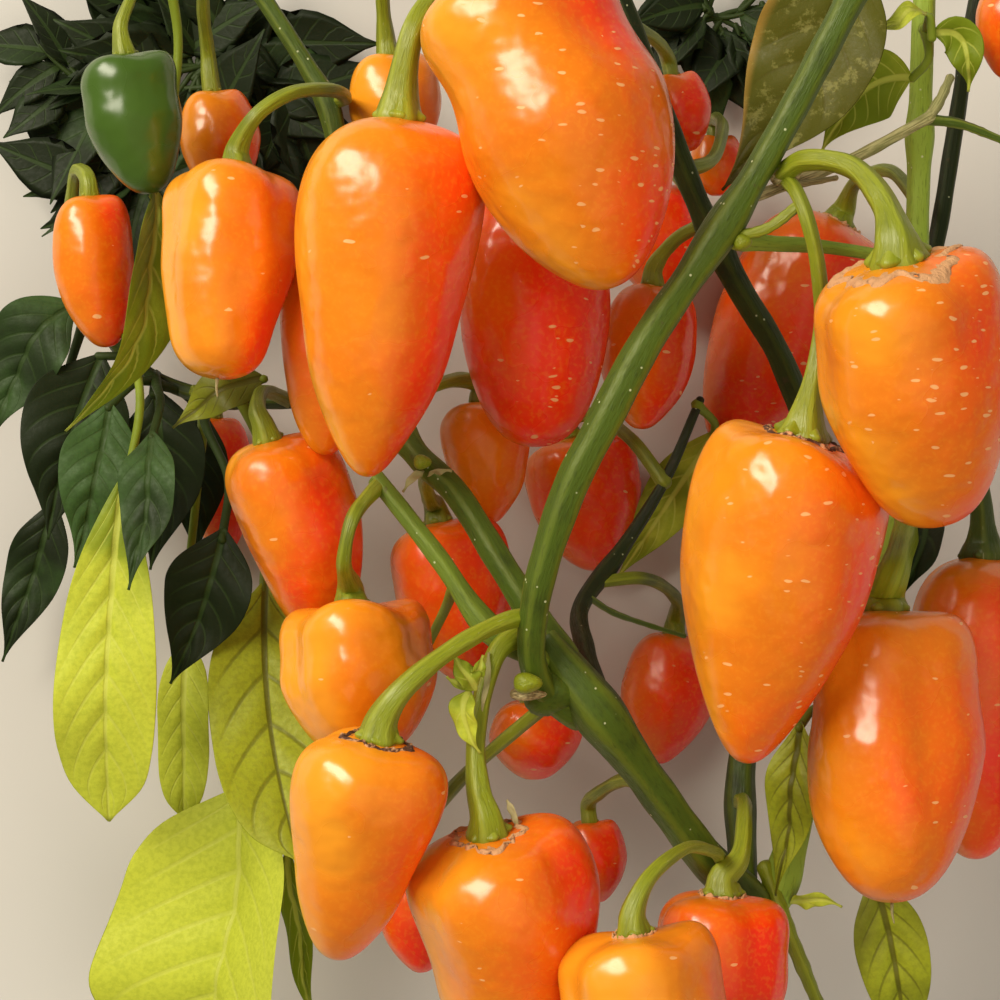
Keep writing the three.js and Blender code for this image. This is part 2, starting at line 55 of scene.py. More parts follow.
# The view and the scale
MM = 0.001
EYE_HEIGHT = 600.0
PICTURE_FOCAL = 2649.0
PICTURE_SIZE = 1000.0
PICTURE_MIDDLE = PICTURE_SIZE / 2
CENTRE = (-0.7, 1.7)
SENSOR = 36.0

# Lights: direction from the aim, distance, how much taller than wide, and whether they glint
AIM = Vector((0.0, 0.0, 0.06))
LIGHTS = {
    "key": ((-0.55, 0.48, 0.68), 1.0, 2.2, True),
    "fill": ((0.35, -0.25, 0.9), 1.2, 1.0, False),
}
FILL_SIZE = 1.1
LIGHT_COLOUR = (1.0, 0.92, 0.76)
SURROUND_COLOUR = (1.0, 0.93, 0.80, 1.0)

# How fine the skins are, in rows, columns and millimetres
PATH_FINENESS = 24
LIMB_AROUND = 28
LIMB_STEP = 1.2
STALK_AROUND = 20
STALK_STEP = 0.9
FRONT_FRUIT = 72
BACK_FRUIT = 44
LARGE_LEAF = (48, 44)
SMALL_LEAF = (24, 20)
SMALL_LEAF_WIDTH = 9

# Fruits: the shoulders' and the tip's angles, and the common stalk and calyx
SHOULDER_AT = 0.55
SHOULDER_SPREAD = 0.28
TIP_SPREAD = 0.35
STALK_RISE = 3.5
CALYX_RADIUS = 3.6
CALYX_FRUIT = 30.0
CALYX_TEETH = 5
FLARE_LENGTH = 5.5
CALYX_SHARES = (0.3, 0.45, 0.6, 0.75, 0.88, 0.97, 1.0, 0.97, 0.85)
CALYX_HEIGHTS = (3.4, 2.7, 2.0, 1.45, 1.05, 0.8, 0.5, 0.1, -0.5)

# Leaves, petioles and scraps, and how much painted shade a limb needs to count as a dark stem
PETIOLE_RADIUS = 0.9
LEAF_SHELL = 0.22
LEAF_OUTLINE = (0.04, 0.50, 0.86, 1.0, 0.98, 0.86, 0.64, 0.37, 0.14, 0.0)
SCRAP_SHAPE = {"roll": 25, "veins": 3, "wave": 0.3, "quilt": 0.1, "swing": 0.3}
DARK_LIMB = 0.3

# Foliage: how far each twig runs of the way to its aim, the sprays' tones of painted shade, the
# leaves' lengths, how far out twigs and leaf tips may lie in half sizes of the mass, and their
# lowest heights
TWIG_REACH = 0.62
SPRAY_SHADE_TONES = (0.5, 1.0, 1.5)
SMALL_LEAF_LENGTHS = (17, 32)
TWIG_BOUND = 1.05
LEAF_BOUND = 1.5
TWIG_FLOOR = 1.5
LEAF_FLOOR = 0.2

# Colours that aren't settings, and for each kind of leaf: shaded part, veins, petiole and gloss
# The two rib colours are painted highlights along the ridges.
STALK_RIB_HIGHLIGHT = (0.46, 0.50, 0.06)
STALK_SCRATCH = (0.6, 0.6, 0.36)
STEM_RIB_HIGHLIGHT = (0.17, 0.21, 0.02)
BRIGHT_STEM = (0.33, 0.46, 0.05)
BARK_BROWN = (0.07, 0.045, 0.02)
STEM_SPECK = (0.62, 0.66, 0.40)
LEAF_MOTTLE = (0.36, 0.34, 0.10)
LEAF_RIM = (0.42, 0.24, 0.05)
DRY_TAN = (0.60, 0.50, 0.25)
DRY_BROWN = (0.20, 0.15, 0.06)
DRY_GREEN = (0.2, 0.24, 0.06)
FLOOR_GREY = (0.5, 0.48, 0.45)
LEAF_LOOKS = {
    "bright_leaf": ((0.17, 0.23, 0.010), (0.52, 0.55, 0.09), (0.20, 0.26, 0.02), 0.45),
    # The olive leaf's dark veins are painted shade in their sunken grooves.
    "olive_leaf": ((0.085, 0.085, 0.008), (0.06, 0.05, 0.007), (0.15, 0.18, 0.015), 0.42),
    "dark_leaf": ((0.012, 0.019, 0.006), (0.034, 0.062, 0.014), (0.03, 0.05, 0.01), 0.5),
}

# The flecks' cells to a metre, each way, and how far they are shaken
FLECK_CELLS = (290.0, 840.0, 290.0)
FLECK_WOBBLE = (0.0016, 0.0016, 0.0016)

# Rings that close a bar's end, from its rim inwards: share of the radius kept, and bulge
CAPS = {
    "cut": ((0.96, 0.04), (0.6, 0.06)),
    "round": ((0.95, 0.3), (0.77, 0.6), (0.42, 0.85)),
}

# How far a fruit is wider than an ellipse of its width, at five stations from crown to tip
GIRTHS = {
    "long": (1.5, 1.13, 0.97, 0.87, 0.75),
    "plump": (1.7, 1.15, 0.96, 0.82, 0.68),
    "blunt": (1.75, 1.13, 0.99, 0.88, 0.88),
    "pear": (1.2, 1.04, 1.0, 0.96, 1.0),
    "pointed": (1.6, 1.155, 0.89, 0.76, 0.45),
    "small": (1.4, 1.1, 1.0, 0.85, 0.6),
}


@dataclass
class Limb:
    """A limb from foot to tip: places as seen with their height, the radius at both ends, knots
    (share of the way along, how much thicker, length), how much painted shade darkens it, how bright
    it is, and its ends."""
    places: list
    foot: float
    tip: float
    knots: list
    dark: float = 0.0
    bright: float = 0.0
    ends: tuple = ("round", "cut")


@dataclass
class Fruit:
    """A fruit. Place and size: crown and tip as seen, height of the middle, width, and the stalk's
    route from its limb; lean is how much higher the crown lies than the tip, bend the bow to one
    side, depth the depth for the width, and rests puts it on the ground. Skin: girths, or the name
    of a girth; lobe, groove, swell and ridge for how strong lobes, creases, swells and ridges are,
    and phase for where the lobes stand; rise and tilt for the shoulders' height and how much higher
    the right one is, dent for how blunt the tip is, and front for a finer mesh. Finish: kind, blush
    for how red it is, slope for the painted shade that makes it redder towards its right side,
    flecks, the corky scar's width and darkness, and the dry thread's length. Stalk: calyx and
    stalk_radius are radii, swollen is how much thicker the joint is and dark how much painted shade
    darkens the stalk and calyx. seed and lift are filled in."""
    crown: tuple
    tip: tuple
    z: float
    width: float
    stalk: list
    kind: str = "deep_fruit"
    blush: float = 0.75
    slope: float = 0.5
    flecks: float = 0.1
    girth: str = "small"
    girths: tuple = ()
    front: bool = False
    rests: bool = False
    lean: float = 0
    bend: float = 0
    lobe: float = 0.04
    phase: float = 0
    depth: float = 0.95
    rise: float = 1.2
    tilt: float = 0
    dent: float = 0.6
    groove: float = 0.04
    swell: float = 0.018
    ridge: float = 0.006
    scar: float = 0
    scar_dark: float = 0.3
    thread: float = 0
    calyx: float = 0
    stalk_radius: float = 1.3
    swollen: float = 0.3
    dark: float = 0.3
    seed: int = 0
    lift: float = 0.0


def ripe(*places, blush=0.12, **more):
    """A ripe orange fruit."""
    return Fruit(*places, kind="ripe_fruit", blush=blush, **more)


@dataclass
class Leaf:
    """A leaf: base, middle and tip of its midrib as seen, width, roll and fold, veins on each side,
    wave of its edge, quilting, swing of its midrib, yellow mottle, painted shade at its base, and
    tone, which moves it between its lit and shaded colours as painted light and shade."""
    base: tuple
    middle: tuple
    tip: tuple
    width: float
    roll: float = 0
    fold: float = 0.12
    veins: int = 7
    wave: float = 0.09
    quilt: float = 0.8
    swing: float = 1.2
    mottle: float = 0.0
    shade: float = 0.0
    tone: float = 0.0
    outline: tuple = LEAF_OUTLINE


# Limbs
LIMBS = {
    "main_stem": Limb([(742, 1085, 38), (750, 985, 44), (745, 905, 56), (700, 850, 70), (640, 768, 80),
        (596, 708, 86), (566, 668, 86), (548, 643, 85)], 4.8, 3.2, [(0.36, 0.25, 7), (0.87, 0.45, 12)],
        dark=0.1, ends=("cut", "round")),
    "front_bough": Limb([(576, 712, 83), (550, 698, 88), (533, 662, 94), (535, 610, 99), (546, 560, 102),
        (574, 480, 105), (600, 430, 106), (645, 345, 106), (700, 262, 104), (742, 198, 104),
        (790, 115, 105), (850, 0, 107), (878, -55, 108)], 2.6, 2.7, [(0.0, 0.35, 5), (0.4, 0.28, 30),
        (0.655, 0.32, 8), (0.98, 0.2, 5)]),
    "upper_left_stem": Limb([(562, 660, 85), (500, 562, 82), (455, 492, 76), (418, 456, 70),
        (385, 400, 60), (350, 240, 54), (329, 107, 54), (306, 64, 54), (265, 0, 54), (238, -42, 54)],
        2.9, 1.7, [(0.0, 0.3, 6), (0.36, 0.4, 5), (0.79, 0.3, 5)]),
    "left_shoot": Limb([(540, 660, 88), (492, 632, 88), (440, 560, 86), (400, 508, 83), (376, 478, 80)],
        2.3, 1.7, [(0.25, 0.25, 5)], bright=0.22),
    "lower_back_bough": Limb([(745, 905, 54), (742, 850, 50), (741, 770, 46), (765, 640, 44),
        (795, 520, 44), (808, 425, 46)], 2.8, 2.6, [(0.2, 0.2, 8)], dark=0.35),
    "upper_back_bough": Limb([(808, 428, 46), (776, 350, 48), (740, 290, 50), (712, 235, 52),
        (680, 160, 54), (650, 80, 55), (620, 0, 56), (598, -50, 57)], 2.6, 2.4, [(0.4, 0.3, 5)],
        dark=0.7),
    "top_shoot": Limb([(604, -36, 57), (572, -78, 66), (520, -100, 74), (455, -92, 74), (385, -62, 66)],
        2.2, 1.4, [(0.42, 0.3, 4)]),
    "dark_shoot": Limb([(600, 705, 84), (585, 650, 66), (582, 605, 48), (620, 552, 40), (665, 480, 37),
        (700, 400, 36)], 2.4, 0.9, [(0.55, 0.35, 5)], dark=0.9, ends=("round", "round")),
    "right_bough": Limb([(752, 960, 46), (782, 880, 54), (806, 790, 54), (840, 690, 52), (884, 560, 54),
        (908, 430, 56), (917, 240, 58), (922, 60, 60), (926, -35, 62)], 3.2, 2.2, [(0.1, 0.25, 5),
        (0.54, 0.3, 5), (0.84, 0.25, 5)], bright=0.85),
    "dark_right_shoot": Limb([(914, 320, 57), (936, 245, 50), (952, 150, 48), (966, 60, 50),
        (980, -25, 52)], 2.0, 1.5, [(0.8, 0.3, 4)], dark=1.0),
    "left_bough": Limb([(378, 380, 59), (330, 396, 48), (260, 400, 38), (190, 392, 32), (130, 360, 30),
        (92, 290, 30), (70, 200, 32)], 2.0, 1.3, [(0.4, 0.3, 4), (0.7, 0.3, 4)], dark=0.5),
    "top_left_shoot": Limb([(258, -12, 54), (215, -36, 58), (160, -40, 62), (105, -30, 62)], 1.6, 1.2,
        [(0.4, 0.35, 3)], dark=0.4),
    "side_shoot": Limb([(722, 236, 103), (765, 243, 99), (815, 246, 95), (884, 256, 92)], 1.7, 1.1,
        [(0.12, 0.35, 3)], bright=0.7),
}

# Fruits, each with its stalk
FRUITS = {
    "fruit_01": Fruit((125, 56), (153, 196), 72, 20, [(140, -38, 62), (132, -5, 70), (121, 25, 72)],
        kind="unripe_fruit", bend=-1, front=True, slope=0, girths=(1.8, 1.12, 0.96, 0.8, 0.75), blush=0,
        flecks=0, stalk_radius=1.0),
    "fruit_02": ripe((90, 196), (108, 350), 50, 17, [(72, 205, 32), (76, 172, 40)], blush=0.35, bend=-1,
        girth="long"),
    "fruit_03": ripe((236, 168), (217, 381), 84, 26.5, [(337, 101, 52), (345, 98, 61), (332, 90, 71),
        (290, 94, 80), (256, 116, 83)], blush=-0.05, front=True, girths=(1.85, 1.146, 0.956, 0.875, 1.1),
        groove=0.06, phase=1.3, thread=3.4, slope=0.6, ridge=0.02, swell=0.035, lean=-7),
    "fruit_04": Fruit((212, 92), (228, 205), 42, 16.5, [(205, -37, 58), (203, 10, 48), (208, 55, 42)],
        blush=0.2),
    "fruit_05": ripe((398, 118), (366, 480), 98, 36.5, [(487, -97, 74), (455, -30, 92), (413, 30, 102)],
        front=True, girths=(1.6, 1.12, 0.85, 0.74, 0.5), bend=-0.7, lean=4, stalk_radius=2.0, calyx=4.6,
        dark=0, flecks=0.12, phase=0.5, slope=0.6, ridge=0.013),
    "fruit_06": ripe((484, -24), (619, 289), 110, 42, [(530, -96, 73), (500, -112, 90)], front=True,
        girths=(1.7, 1.01, 0.985, 0.86, 0.72), lobe=0.05, phase=0.3, bend=2.7, stalk_radius=1.9,
        calyx=4.6, dark=0, flecks=0.8, slope=0.65, swell=0.035, rise=1.5),
    "fruit_07": ripe((388, 56), (402, 165), 50, 19.5, [(388, -63, 66), (382, -20, 56)], blush=-0.35),
    "fruit_08": Fruit((526, 178), (538, 450), 60, 31, [(654, 90, 55), (600, 100, 64), (545, 130, 62)],
        girth="pear", blush=1.0, flecks=0.5),
    "fruit_09": ripe((652, 285), (640, 432), 42, 20.5, [(706, 222, 52), (675, 240, 46)], blush=0.6,
        flecks=0.4),
    "fruit_10": ripe((318, 262), (326, 458), 72, 19, [(347, 225, 54), (326, 228, 66)], blush=0.35,
        girth="long", bend=1),
    "fruit_12": Fruit((480, 402), (492, 526), 40, 19.5, [(392, 415, 62), (430, 388, 52), (465, 380, 42)],
        girth="pointed", blush=0.1),
    "fruit_13": Fruit((570, 438), (602, 572), 12, 26, [(664, 482, 37), (632, 440, 34), (590, 415, 20)],
        rests=True, girth="plump"),
    "fruit_14": ripe((268, 440), (328, 645), 62, 24.5, [(288, 400, 42), (262, 392, 58), (258, 412, 66)],
        blush=0.35, front=True, girth="plump", bend=1.5, lean=8, phase=0.8, lobe=0.06),
    "fruit_15": Fruit((214, 418), (224, 558), 8, 15.5, [(196, 392, 33), (205, 392, 20)], rests=True),
    "fruit_16": Fruit((438, 522), (472, 684), 44, 25.5, [(432, 470, 72), (425, 480, 60), (430, 500, 50)],
        front=True, girth="plump", blush=0.7),
    "fruit_17": ripe((352, 606), (366, 762), 80, 30.5, [(380, 483, 80), (352, 520, 91), (344, 560, 90)],
        blush=-0.2, front=True, girth="blunt", lobe=0.08, phase=1.5, groove=0.08, rise=2.6, lean=-3,
        ridge=0.016, slope=0.65),
    "fruit_18": ripe((378, 738), (334, 961), 103, 31, [(538, 616, 94), (505, 621, 99), (450, 650, 105),
        (400, 692, 109)], blush=-0.15, front=True, girths=(1.6, 1.08, 0.77, 0.66, 0.56), calyx=4, lean=9,
        stalk_radius=1.7, scar=3.6, swollen=0, scar_dark=0.8, dark=0.05, phase=-0.9, slope=0.75,
        ridge=0.016),
    "fruit_19": ripe((488, 834), (512, 1062), 96, 36, [(524, 632, 90), (500, 648, 93), (484, 690, 96),
        (476, 745, 99), (480, 795, 101)], front=True, girths=(1.6, 1.16, 0.9, 0.85, 0.8), lobe=0.06,
        calyx=4, stalk_radius=1.7, tilt=2.4, scar=5.6, bend=2.2, lean=12, scar_dark=0.25, dark=0.05,
        phase=1.3, slope=0.8, groove=0.1),
    "fruit_20": Fruit((408, 866), (424, 975), 48, 15.5, [(580, 678, 85), (540, 710, 74), (460, 780, 60),
        (415, 835, 52)], blush=0.9),
    "fruit_21": Fruit((532, 702), (536, 782), 42, 19.5, [(562, 650, 86), (552, 668, 68),
        (540, 682, 52)]),
    "fruit_22": Fruit((674, 634), (656, 766), 10, 20.5, [(597, 582, 44), (640, 578, 40), (676, 598, 22)],
        rests=True, dark=0.5, swollen=0),
    "fruit_23": Fruit((590, 822), (598, 905), 46, 13.5, [(655, 788, 77), (625, 780, 66),
        (596, 795, 54)]),
    "fruit_24": ripe((634, 934), (655, 1128), 112, 30.5, [(722, 862, 66), (712, 851, 86),
        (682, 850, 102), (647, 880, 110)], blush=-0.5, front=True, girth="blunt", calyx=3.4,
        stalk_radius=1.15, dark=0.15, rise=2.2, groove=0.1, phase=0.9, tilt=0.8, ridge=0.028, slope=0.7,
        scar=1.6, scar_dark=0.1),
    "fruit_25": Fruit((722, 894), (712, 1080), 76, 27, [(741, 800, 47), (744, 812, 66), (738, 860, 75)],
        front=True, girth="blunt", stalk_radius=1.5, calyx=4.0, scar=1.6, dark=0, blush=0.85,
        groove=0.08),
    "fruit_26": ripe((802, 436), (744, 766), 102, 38, [(786, 180, 101), (796, 192, 106), (806, 216, 108),
        (817, 262, 107), (821, 330, 103)], blush=0.15, front=True, girths=(1.7, 1.14, 0.91, 0.7, 0.5),
        bend=-0.4, calyx=5.2, stalk_radius=1.4, swollen=0, tilt=-2.6, rise=2.4, flecks=0.8, dark=0,
        phase=1.1, scar=4.2, scar_dark=0.75, lean=6, slope=0.6),
    "fruit_27": ripe((898, 260), (938, 528), 118, 35.5, [(784, 172, 102), (806, 160, 107),
        (852, 167, 114), (884, 204, 121)], front=True, girth="blunt", lobe=0.06, calyx=5.6,
        stalk_radius=2.0, flecks=1.4, scar=12, scar_dark=0.0, dark=0, rise=1.6, lean=12, swollen=0,
        groove=0.06, phase=0.3, tilt=1.0, slope=0.65),
    "fruit_28": ripe((884, 612), (892, 906), 84, 34, [(905, 450, 56), (908, 515, 68), (893, 572, 82)],
        blush=0.1, front=True, girths=(1.9, 1.11, 1.0, 0.97, 0.92), stalk_radius=2.6, calyx=4.8,
        dark=0.15, flecks=0.3, thread=3.6, groove=0.1, swell=0.03, phase=-0.4, lobe=0.06, ridge=0.02,
        lean=-9, tilt=1.2, slope=0.55),
    "fruit_29": Fruit((982, 556), (974, 862), 54, 30.5, [(910, 400, 56), (950, 425, 60), (977, 480, 60)],
        front=True, girth="long", stalk_radius=1.9, calyx=4.6, dark=0.9, blush=0.6, flecks=0.3),
    "fruit_30": Fruit((838, 222), (724, 456), 17, 34, [(918, 200, 58), (892, 172, 46), (856, 182, 26)],
        front=True, rests=True, girth="plump", blush=0.85, flecks=0.5, scar=2.4),
    "fruit_32": ripe((1030, -32), (1006, 82), 72, 17.5, [(977, -12, 52), (1004, -54, 66)], blush=0.7),
    "fruit_33": Fruit((672, 76), (690, 154), 40, 13, [(630, 25, 56), (655, 40, 48)]),
    "fruit_34": Fruit((714, 138), (718, 198), 22, 12, [(684, 170, 54), (712, 160, 46), (722, 126, 34)],
        blush=0.4),
    "fruit_35": Fruit((650, 188), (668, 305), 10, 20.5, [(702, 210, 53), (672, 172, 30)], rests=True),
}

# Leaves: what they look like, the routes of their petioles, and the blades, whose tone and shade are painted
# light and shade
SPRAYS = {
    "mottled_leaf": ("olive_leaf", [[(872, -42, 107), (862, -60, 96), (846, -48, 84)]], [
        Leaf((850, -55, 84), (822, 80, 84), (722, 190, 82), 25, roll=8, mottle=0.6, tone=2.2),
    ]),
    "young_top_leaves": ("bright_leaf", [[(923, 28, 61), (926, 30, 72), (930, 18, 80), (932, 38, 80)],
        [(926, 30, 72), (928, 60, 74), (912, 78, 73)]], [
        Leaf((912, 78, 73), (860, 70, 80), (822, 152, 76), 14, roll=-12, tone=0.8, quilt=0.1),
        Leaf((928, 12, 78), (905, 10, 84), (868, 36, 82), 5, roll=40, veins=4),
        Leaf((932, 34, 79), (975, 20, 82), (968, 92, 76), 8, roll=20, veins=5, tone=1.4, fold=0.3),
    ]),
    "edge_on_leaf": ("bright_leaf", [[(165, -40, 62), (178, 40, 58), (170, 120, 60), (153, 196, 66)]], [
        Leaf((156, 188, 66), (165, 350, 80), (66, 432, 66), 15, roll=-55, tone=0.75, fold=0.3),
    ]),
    "far_left_leaves": ("dark_leaf", [[(96, 300, 30), (84, 318, 36), (70, 312, 40)], [(86, 314, 35),
        (62, 400, 26), (55, 505, 24)]], [
        Leaf((78, 306, 40), (26, 318, 44), (-8, 440, 36), 18, roll=10, tone=0.1),
        Leaf((55, 500, 24), (40, 560, 26), (2, 662, 18), 13, tone=0.5),
    ]),
    "dark_left_leaves": ("dark_leaf", [[(156, 376, 31), (155, 378, 38), (153, 394, 41)], [(155, 380, 39),
        (128, 358, 40), (98, 356, 40)]], [
        Leaf((102, 354, 40), (62, 440, 48), (48, 540, 42), 22, roll=-8, tone=1.3),
        Leaf((155, 388, 40), (170, 480, 38), (150, 570, 34), 19, tone=1.0),
    ]),
    "mid_left_leaves": ("dark_leaf", [[(155, 380, 39), (134, 384, 46), (108, 408, 50)], [(155, 380, 39),
        (160, 404, 56), (152, 438, 66)], [(158, 384, 37), (186, 396, 30), (206, 420, 26)]], [
        Leaf((110, 402, 50), (96, 490, 56), (74, 568, 52), 16, tone=-0.8),
        Leaf((152, 430, 66), (150, 510, 75), (128, 590, 76), 12, roll=12, tone=0.1),
        Leaf((204, 412, 26), (196, 470, 25), (196, 560, 20), 13, tone=1.0),
    ]),
    "long_bright_leaf": ("bright_leaf", [[(108, 322, 30), (125, 335, 50), (140, 400, 62),
        (127, 482, 64)]], [
        Leaf((124, 474, 64), (99, 645, 70), (109, 822, 56), 20.5, veins=9, wave=0.1, tone=-0.7,
            shade=2.0, quilt=1.1, outline=(0.04, 0.35, 0.62, 0.82, 0.94, 1.0, 1.0, 0.93, 0.7, 0.0)),
    ]),
    "black_leaf": ("dark_leaf", [[(206, 394, 33), (204, 420, 38), (228, 480, 48), (222, 540, 57)]], [
        Leaf((224, 528, 57), (208, 610, 57), (170, 684, 52), 18, tone=1.4),
    ]),
    "light_leaf": ("bright_leaf", [[(204, 418, 37), (196, 500, 26), (186, 600, 26), (184, 650, 30)]], [
        Leaf((186, 642, 30), (182, 740, 34), (184, 820, 28), 11, tone=-2.4, shade=0.6, quilt=0.4,
            outline=(0.2, 0.7, 0.92, 1.0, 1.0, 1.0, 0.98, 0.9, 0.65, 0.0)),
    ]),
    "olive_leaves": ("olive_leaf", [[(238, 398, 36), (240, 398, 44), (252, 384, 50), (264, 379, 54)],
        [(240, 398, 44), (262, 450, 42), (266, 530, 39), (263, 592, 42)]], [
        Leaf((266, 378, 54), (225, 380, 58), (172, 428, 54), 10, roll=15, tone=0.6, quilt=0.1),
        Leaf((266, 580, 42), (256, 715, 52), (300, 862, 68), 24.5, roll=-8, veins=6, tone=-1.2,
            outline=(0.04, 0.45, 0.8, 0.96, 1.0, 1.0, 0.98, 0.88, 0.62, 0.0)),
    ]),
    "bottom_left_leaf": ("bright_leaf", [[(455, 583, 87), (440, 620, 66), (395, 700, 46), (330, 770, 36),
        (236, 786, 37)], [(330, 770, 36), (300, 800, 36), (285, 850, 40)]], [
        Leaf((243, 786, 36), (234, 930, 46), (202, 1104, 32), 46, roll=31, fold=0.6, veins=8, wave=0.07,
            tone=-1.5, swing=2.0, outline=(0.04, 0.58, 0.8, 0.9, 0.98, 1.0, 0.96, 0.78, 0.42, 0.0)),
        Leaf((288, 842, 40), (290, 920, 44), (318, 1035, 36), 7, roll=30, tone=0.7),
    ]),
    "bottom_right_leaf": ("olive_leaf", [[(852, 650, 53), (866, 740, 46), (874, 830, 50),
        (872, 880, 56)]], [
        Leaf((872, 872, 56), (900, 960, 60), (908, 1062, 46), 15, roll=10, tone=0.2),
    ]),
    "lower_middle_leaf": ("olive_leaf", [[(832, 712, 52), (815, 708, 60), (799, 728, 66)]], [
        Leaf((800, 720, 66), (793, 810, 68), (775, 896, 62), 11, roll=30, tone=-0.4),
    ]),
    "pale_back_leaf": ("bright_leaf", [[(697, 405, 36), (714, 422, 28), (714, 436, 22)]], [
        Leaf((716, 430, 23), (682, 484, 20), (616, 580, 10), 13, tone=0.3),
    ]),
}

# Sprays that stand with another one's node
STANDS_WITH = {"mid_left_leaves": "dark_left_leaves", "light_leaf": "black_leaf"}

# Small twigs: what they look like, the limb they grow on, places, and the radius at both ends
TWIGS = {
    "dry_twig": ("dry", "front_bough", [(745, 200, 104), (775, 189, 98), (850, 160, 92), (930, 117, 90)],
        1.1, 1.2),
    "dry_twig_end": ("dark", "front_bough", [(926, 119, 90), (960, 124, 89), (1004, 141, 88)], 1.1, 0.8),
    "dry_twig_fork": ("dry", "front_bough", [(928, 119, 90), (940, 100, 90), (950, 78, 88)], 1.1, 0.8),
    "dry_twig_stub": ("dry", "front_bough", [(786, 186, 98), (812, 182, 99), (836, 178, 101)], 0.8, 0.5),
    "low_shoot": ("stalk", "right_bough", [(766, 868, 55), (782, 915, 58), (800, 960, 58),
        (818, 1004, 56)], 1.7, 1.3),
    "low_tendril": ("dark", "dark_shoot", [(590, 598, 47), (612, 612, 42), (645, 624, 36),
        (684, 636, 32)], 0.8, 0.5),
    "spur": ("stalk", "side_shoot", [(738, 236, 104), (768, 228, 106), (800, 204, 107)], 1.1, 1.1),
}

# Small leaflets, bracts and flaps: looks, limb, and the midrib and width as for a leaf
SCRAPS = {
    "leaflet_a": ("bright_leaf", "left_shoot", (478, 690, 101), (462, 672, 104), (453, 652, 102), 4.8),
    "leaflet_b": ("bright_leaf", "left_shoot", (474, 680, 101), (480, 668, 103), (484, 655, 102), 3.0),
    "leaflet_c": ("bright_leaf", "left_shoot", (470, 684, 101), (458, 688, 102), (447, 676, 102), 2.2),
    "leaflet_d": ("bright_leaf", "left_shoot", (470, 688, 101), (453, 716, 105), (480, 754, 102), 5.4),
    "flap": ("dark_leaf", "right_bough", (925, 506, 68), (932, 548, 80), (894, 604, 80), 8.0),
    "leaf_bit": ("bright_leaf", "right_bough", (790, 905, 56), (815, 892, 62), (842, 908, 60), 4.0),
    "bract_a": ("dry", "left_shoot", (506, 800, 99), (514, 815, 101), (520, 832, 100), 1.6),
    "bract_b": ("dry", "upper_left_stem", (424, 470, 75), (410, 478, 79), (402, 492, 77), 2.0),
    "bract_c": ("dry", "upper_left_stem", (428, 478, 75), (440, 468, 79), (452, 472, 78), 1.8),
    "bract_d": ("dry", "left_shoot", (488, 652, 96), (488, 690, 99), (478, 722, 99), 1.4),
}

# Buds and leaf scars: looks, limb, place and radii
BUDS = {
    "fork_node": ("stem", "main_stem", (549, 691, 87), (5.6, 4.9, 4.4)),
    "fork_nub": ("stalk", "front_bough", (527, 683, 97), (2.8, 2.0, 2.2)),
    "fork_ring": ("dry", "front_bough", (527, 694, 92), (3.6, 1.3, 3.0)),
    "twig_node": ("dry", "front_bough", (784, 174, 101), (3.0, 2.3, 2.2)),
    "side_nub": ("stalk", "side_shoot", (742, 242, 105), (1.8, 1.6, 1.5)),
    "stem_bud": ("stalk", "upper_left_stem", (422, 462, 76), (1.8, 1.5, 1.6)),
    "right_bud": ("stalk", "right_bough", (912, 250, 61), (1.7, 1.9, 1.5)),
}

# Foliage far behind: the shoot that bears it, and the middle and seen size of the space it fills
FOLIAGE = {
    "upper_left_foliage": {
        "shoot": [(185, -39, 60), (236, -58, 44), (250, -20, 24), (222, 40, 13)],
        "middle": (170, 110, 13), "size": (330, 250, 26), "twigs": 15, "seed": 11,
    },
    "top_foliage": {
        "shoot": [(610, -22, 57), (648, -50, 40), (680, -40, 20), (706, 4, 9)],
        "middle": (725, 25, 9), "size": (160, 150, 18), "twigs": 9, "seed": 12,
    },
}


# Curves and numbers

def seen(places):
    """Places given as picture x, picture y and height, in millimetres: one picture unit spans more
    the further it lies from the eye."""
    px, py, z = np.asarray(places, float).T
    scale = (EYE_HEIGHT - z) / PICTURE_FOCAL
    x = (px - PICTURE_MIDDLE) * scale + CENTRE[0]
    y = (PICTURE_MIDDLE - py) * scale + CENTRE[1]
    return np.stack([x, y, z], axis=-1)


def unit(vectors):
    """Vectors divided by their lengths."""
    return vectors / np.linalg.norm(vectors, axis=-1, keepdims=True)


def around(count):
    """Even angles round a ring, as one row."""
    return np.linspace(0, 2 * np.pi, count, endpoint=False)[None]


def run_of(points):
    """How far along a broken line each of its points lies."""
    return np.concatenate([[0], np.cumsum(np.linalg.norm(np.diff(points, axis=0), axis=1))])


def evened(curve, places):
    """Points at given lengths along a broken line."""
    lengths = run_of(curve)
    return np.stack([np.interp(places * lengths[-1], lengths, curve[:, n]) for n in range(3)], axis=1)


def smooth_path(points, steps):
    """A centripetal Catmull-Rom curve at even steps: each span is three rounds of blends between
    four neighbours, whose knots are spaced by the square roots of the distances."""
    points = np.asarray(points, float)
    ends = 2 * points[[0, -1]] - points[[1, -2]]
    padded = np.vstack([ends[:1], points, ends[1:]])
    knots = np.concatenate([[0], np.cumsum(np.linalg.norm(np.diff(padded, axis=0), axis=1) ** 0.5)])
    spans = len(points) - 1
    fine = np.linspace(0, spans, spans * PATH_FINENESS + 1)
    first = np.minimum(fine.astype(int), spans - 1)
    k = [knots[first + n][:, None] for n in range(4)]
    p = [padded[first + n] for n in range(4)]
    t = k[1] + (fine - first)[:, None] * (k[2] - k[1])

    def blend(a, b, i, j):
        return ((k[j] - t) * a + (t - k[i]) * b) / (k[j] - k[i])

    low, middle, high = (blend(p[n], p[n + 1], n, n + 1) for n in range(3))
    curve = blend(blend(low, middle, 0, 2), blend(middle, high, 1, 3), 1, 2)
    return evened(curve, np.linspace(0, 1, steps + 1))


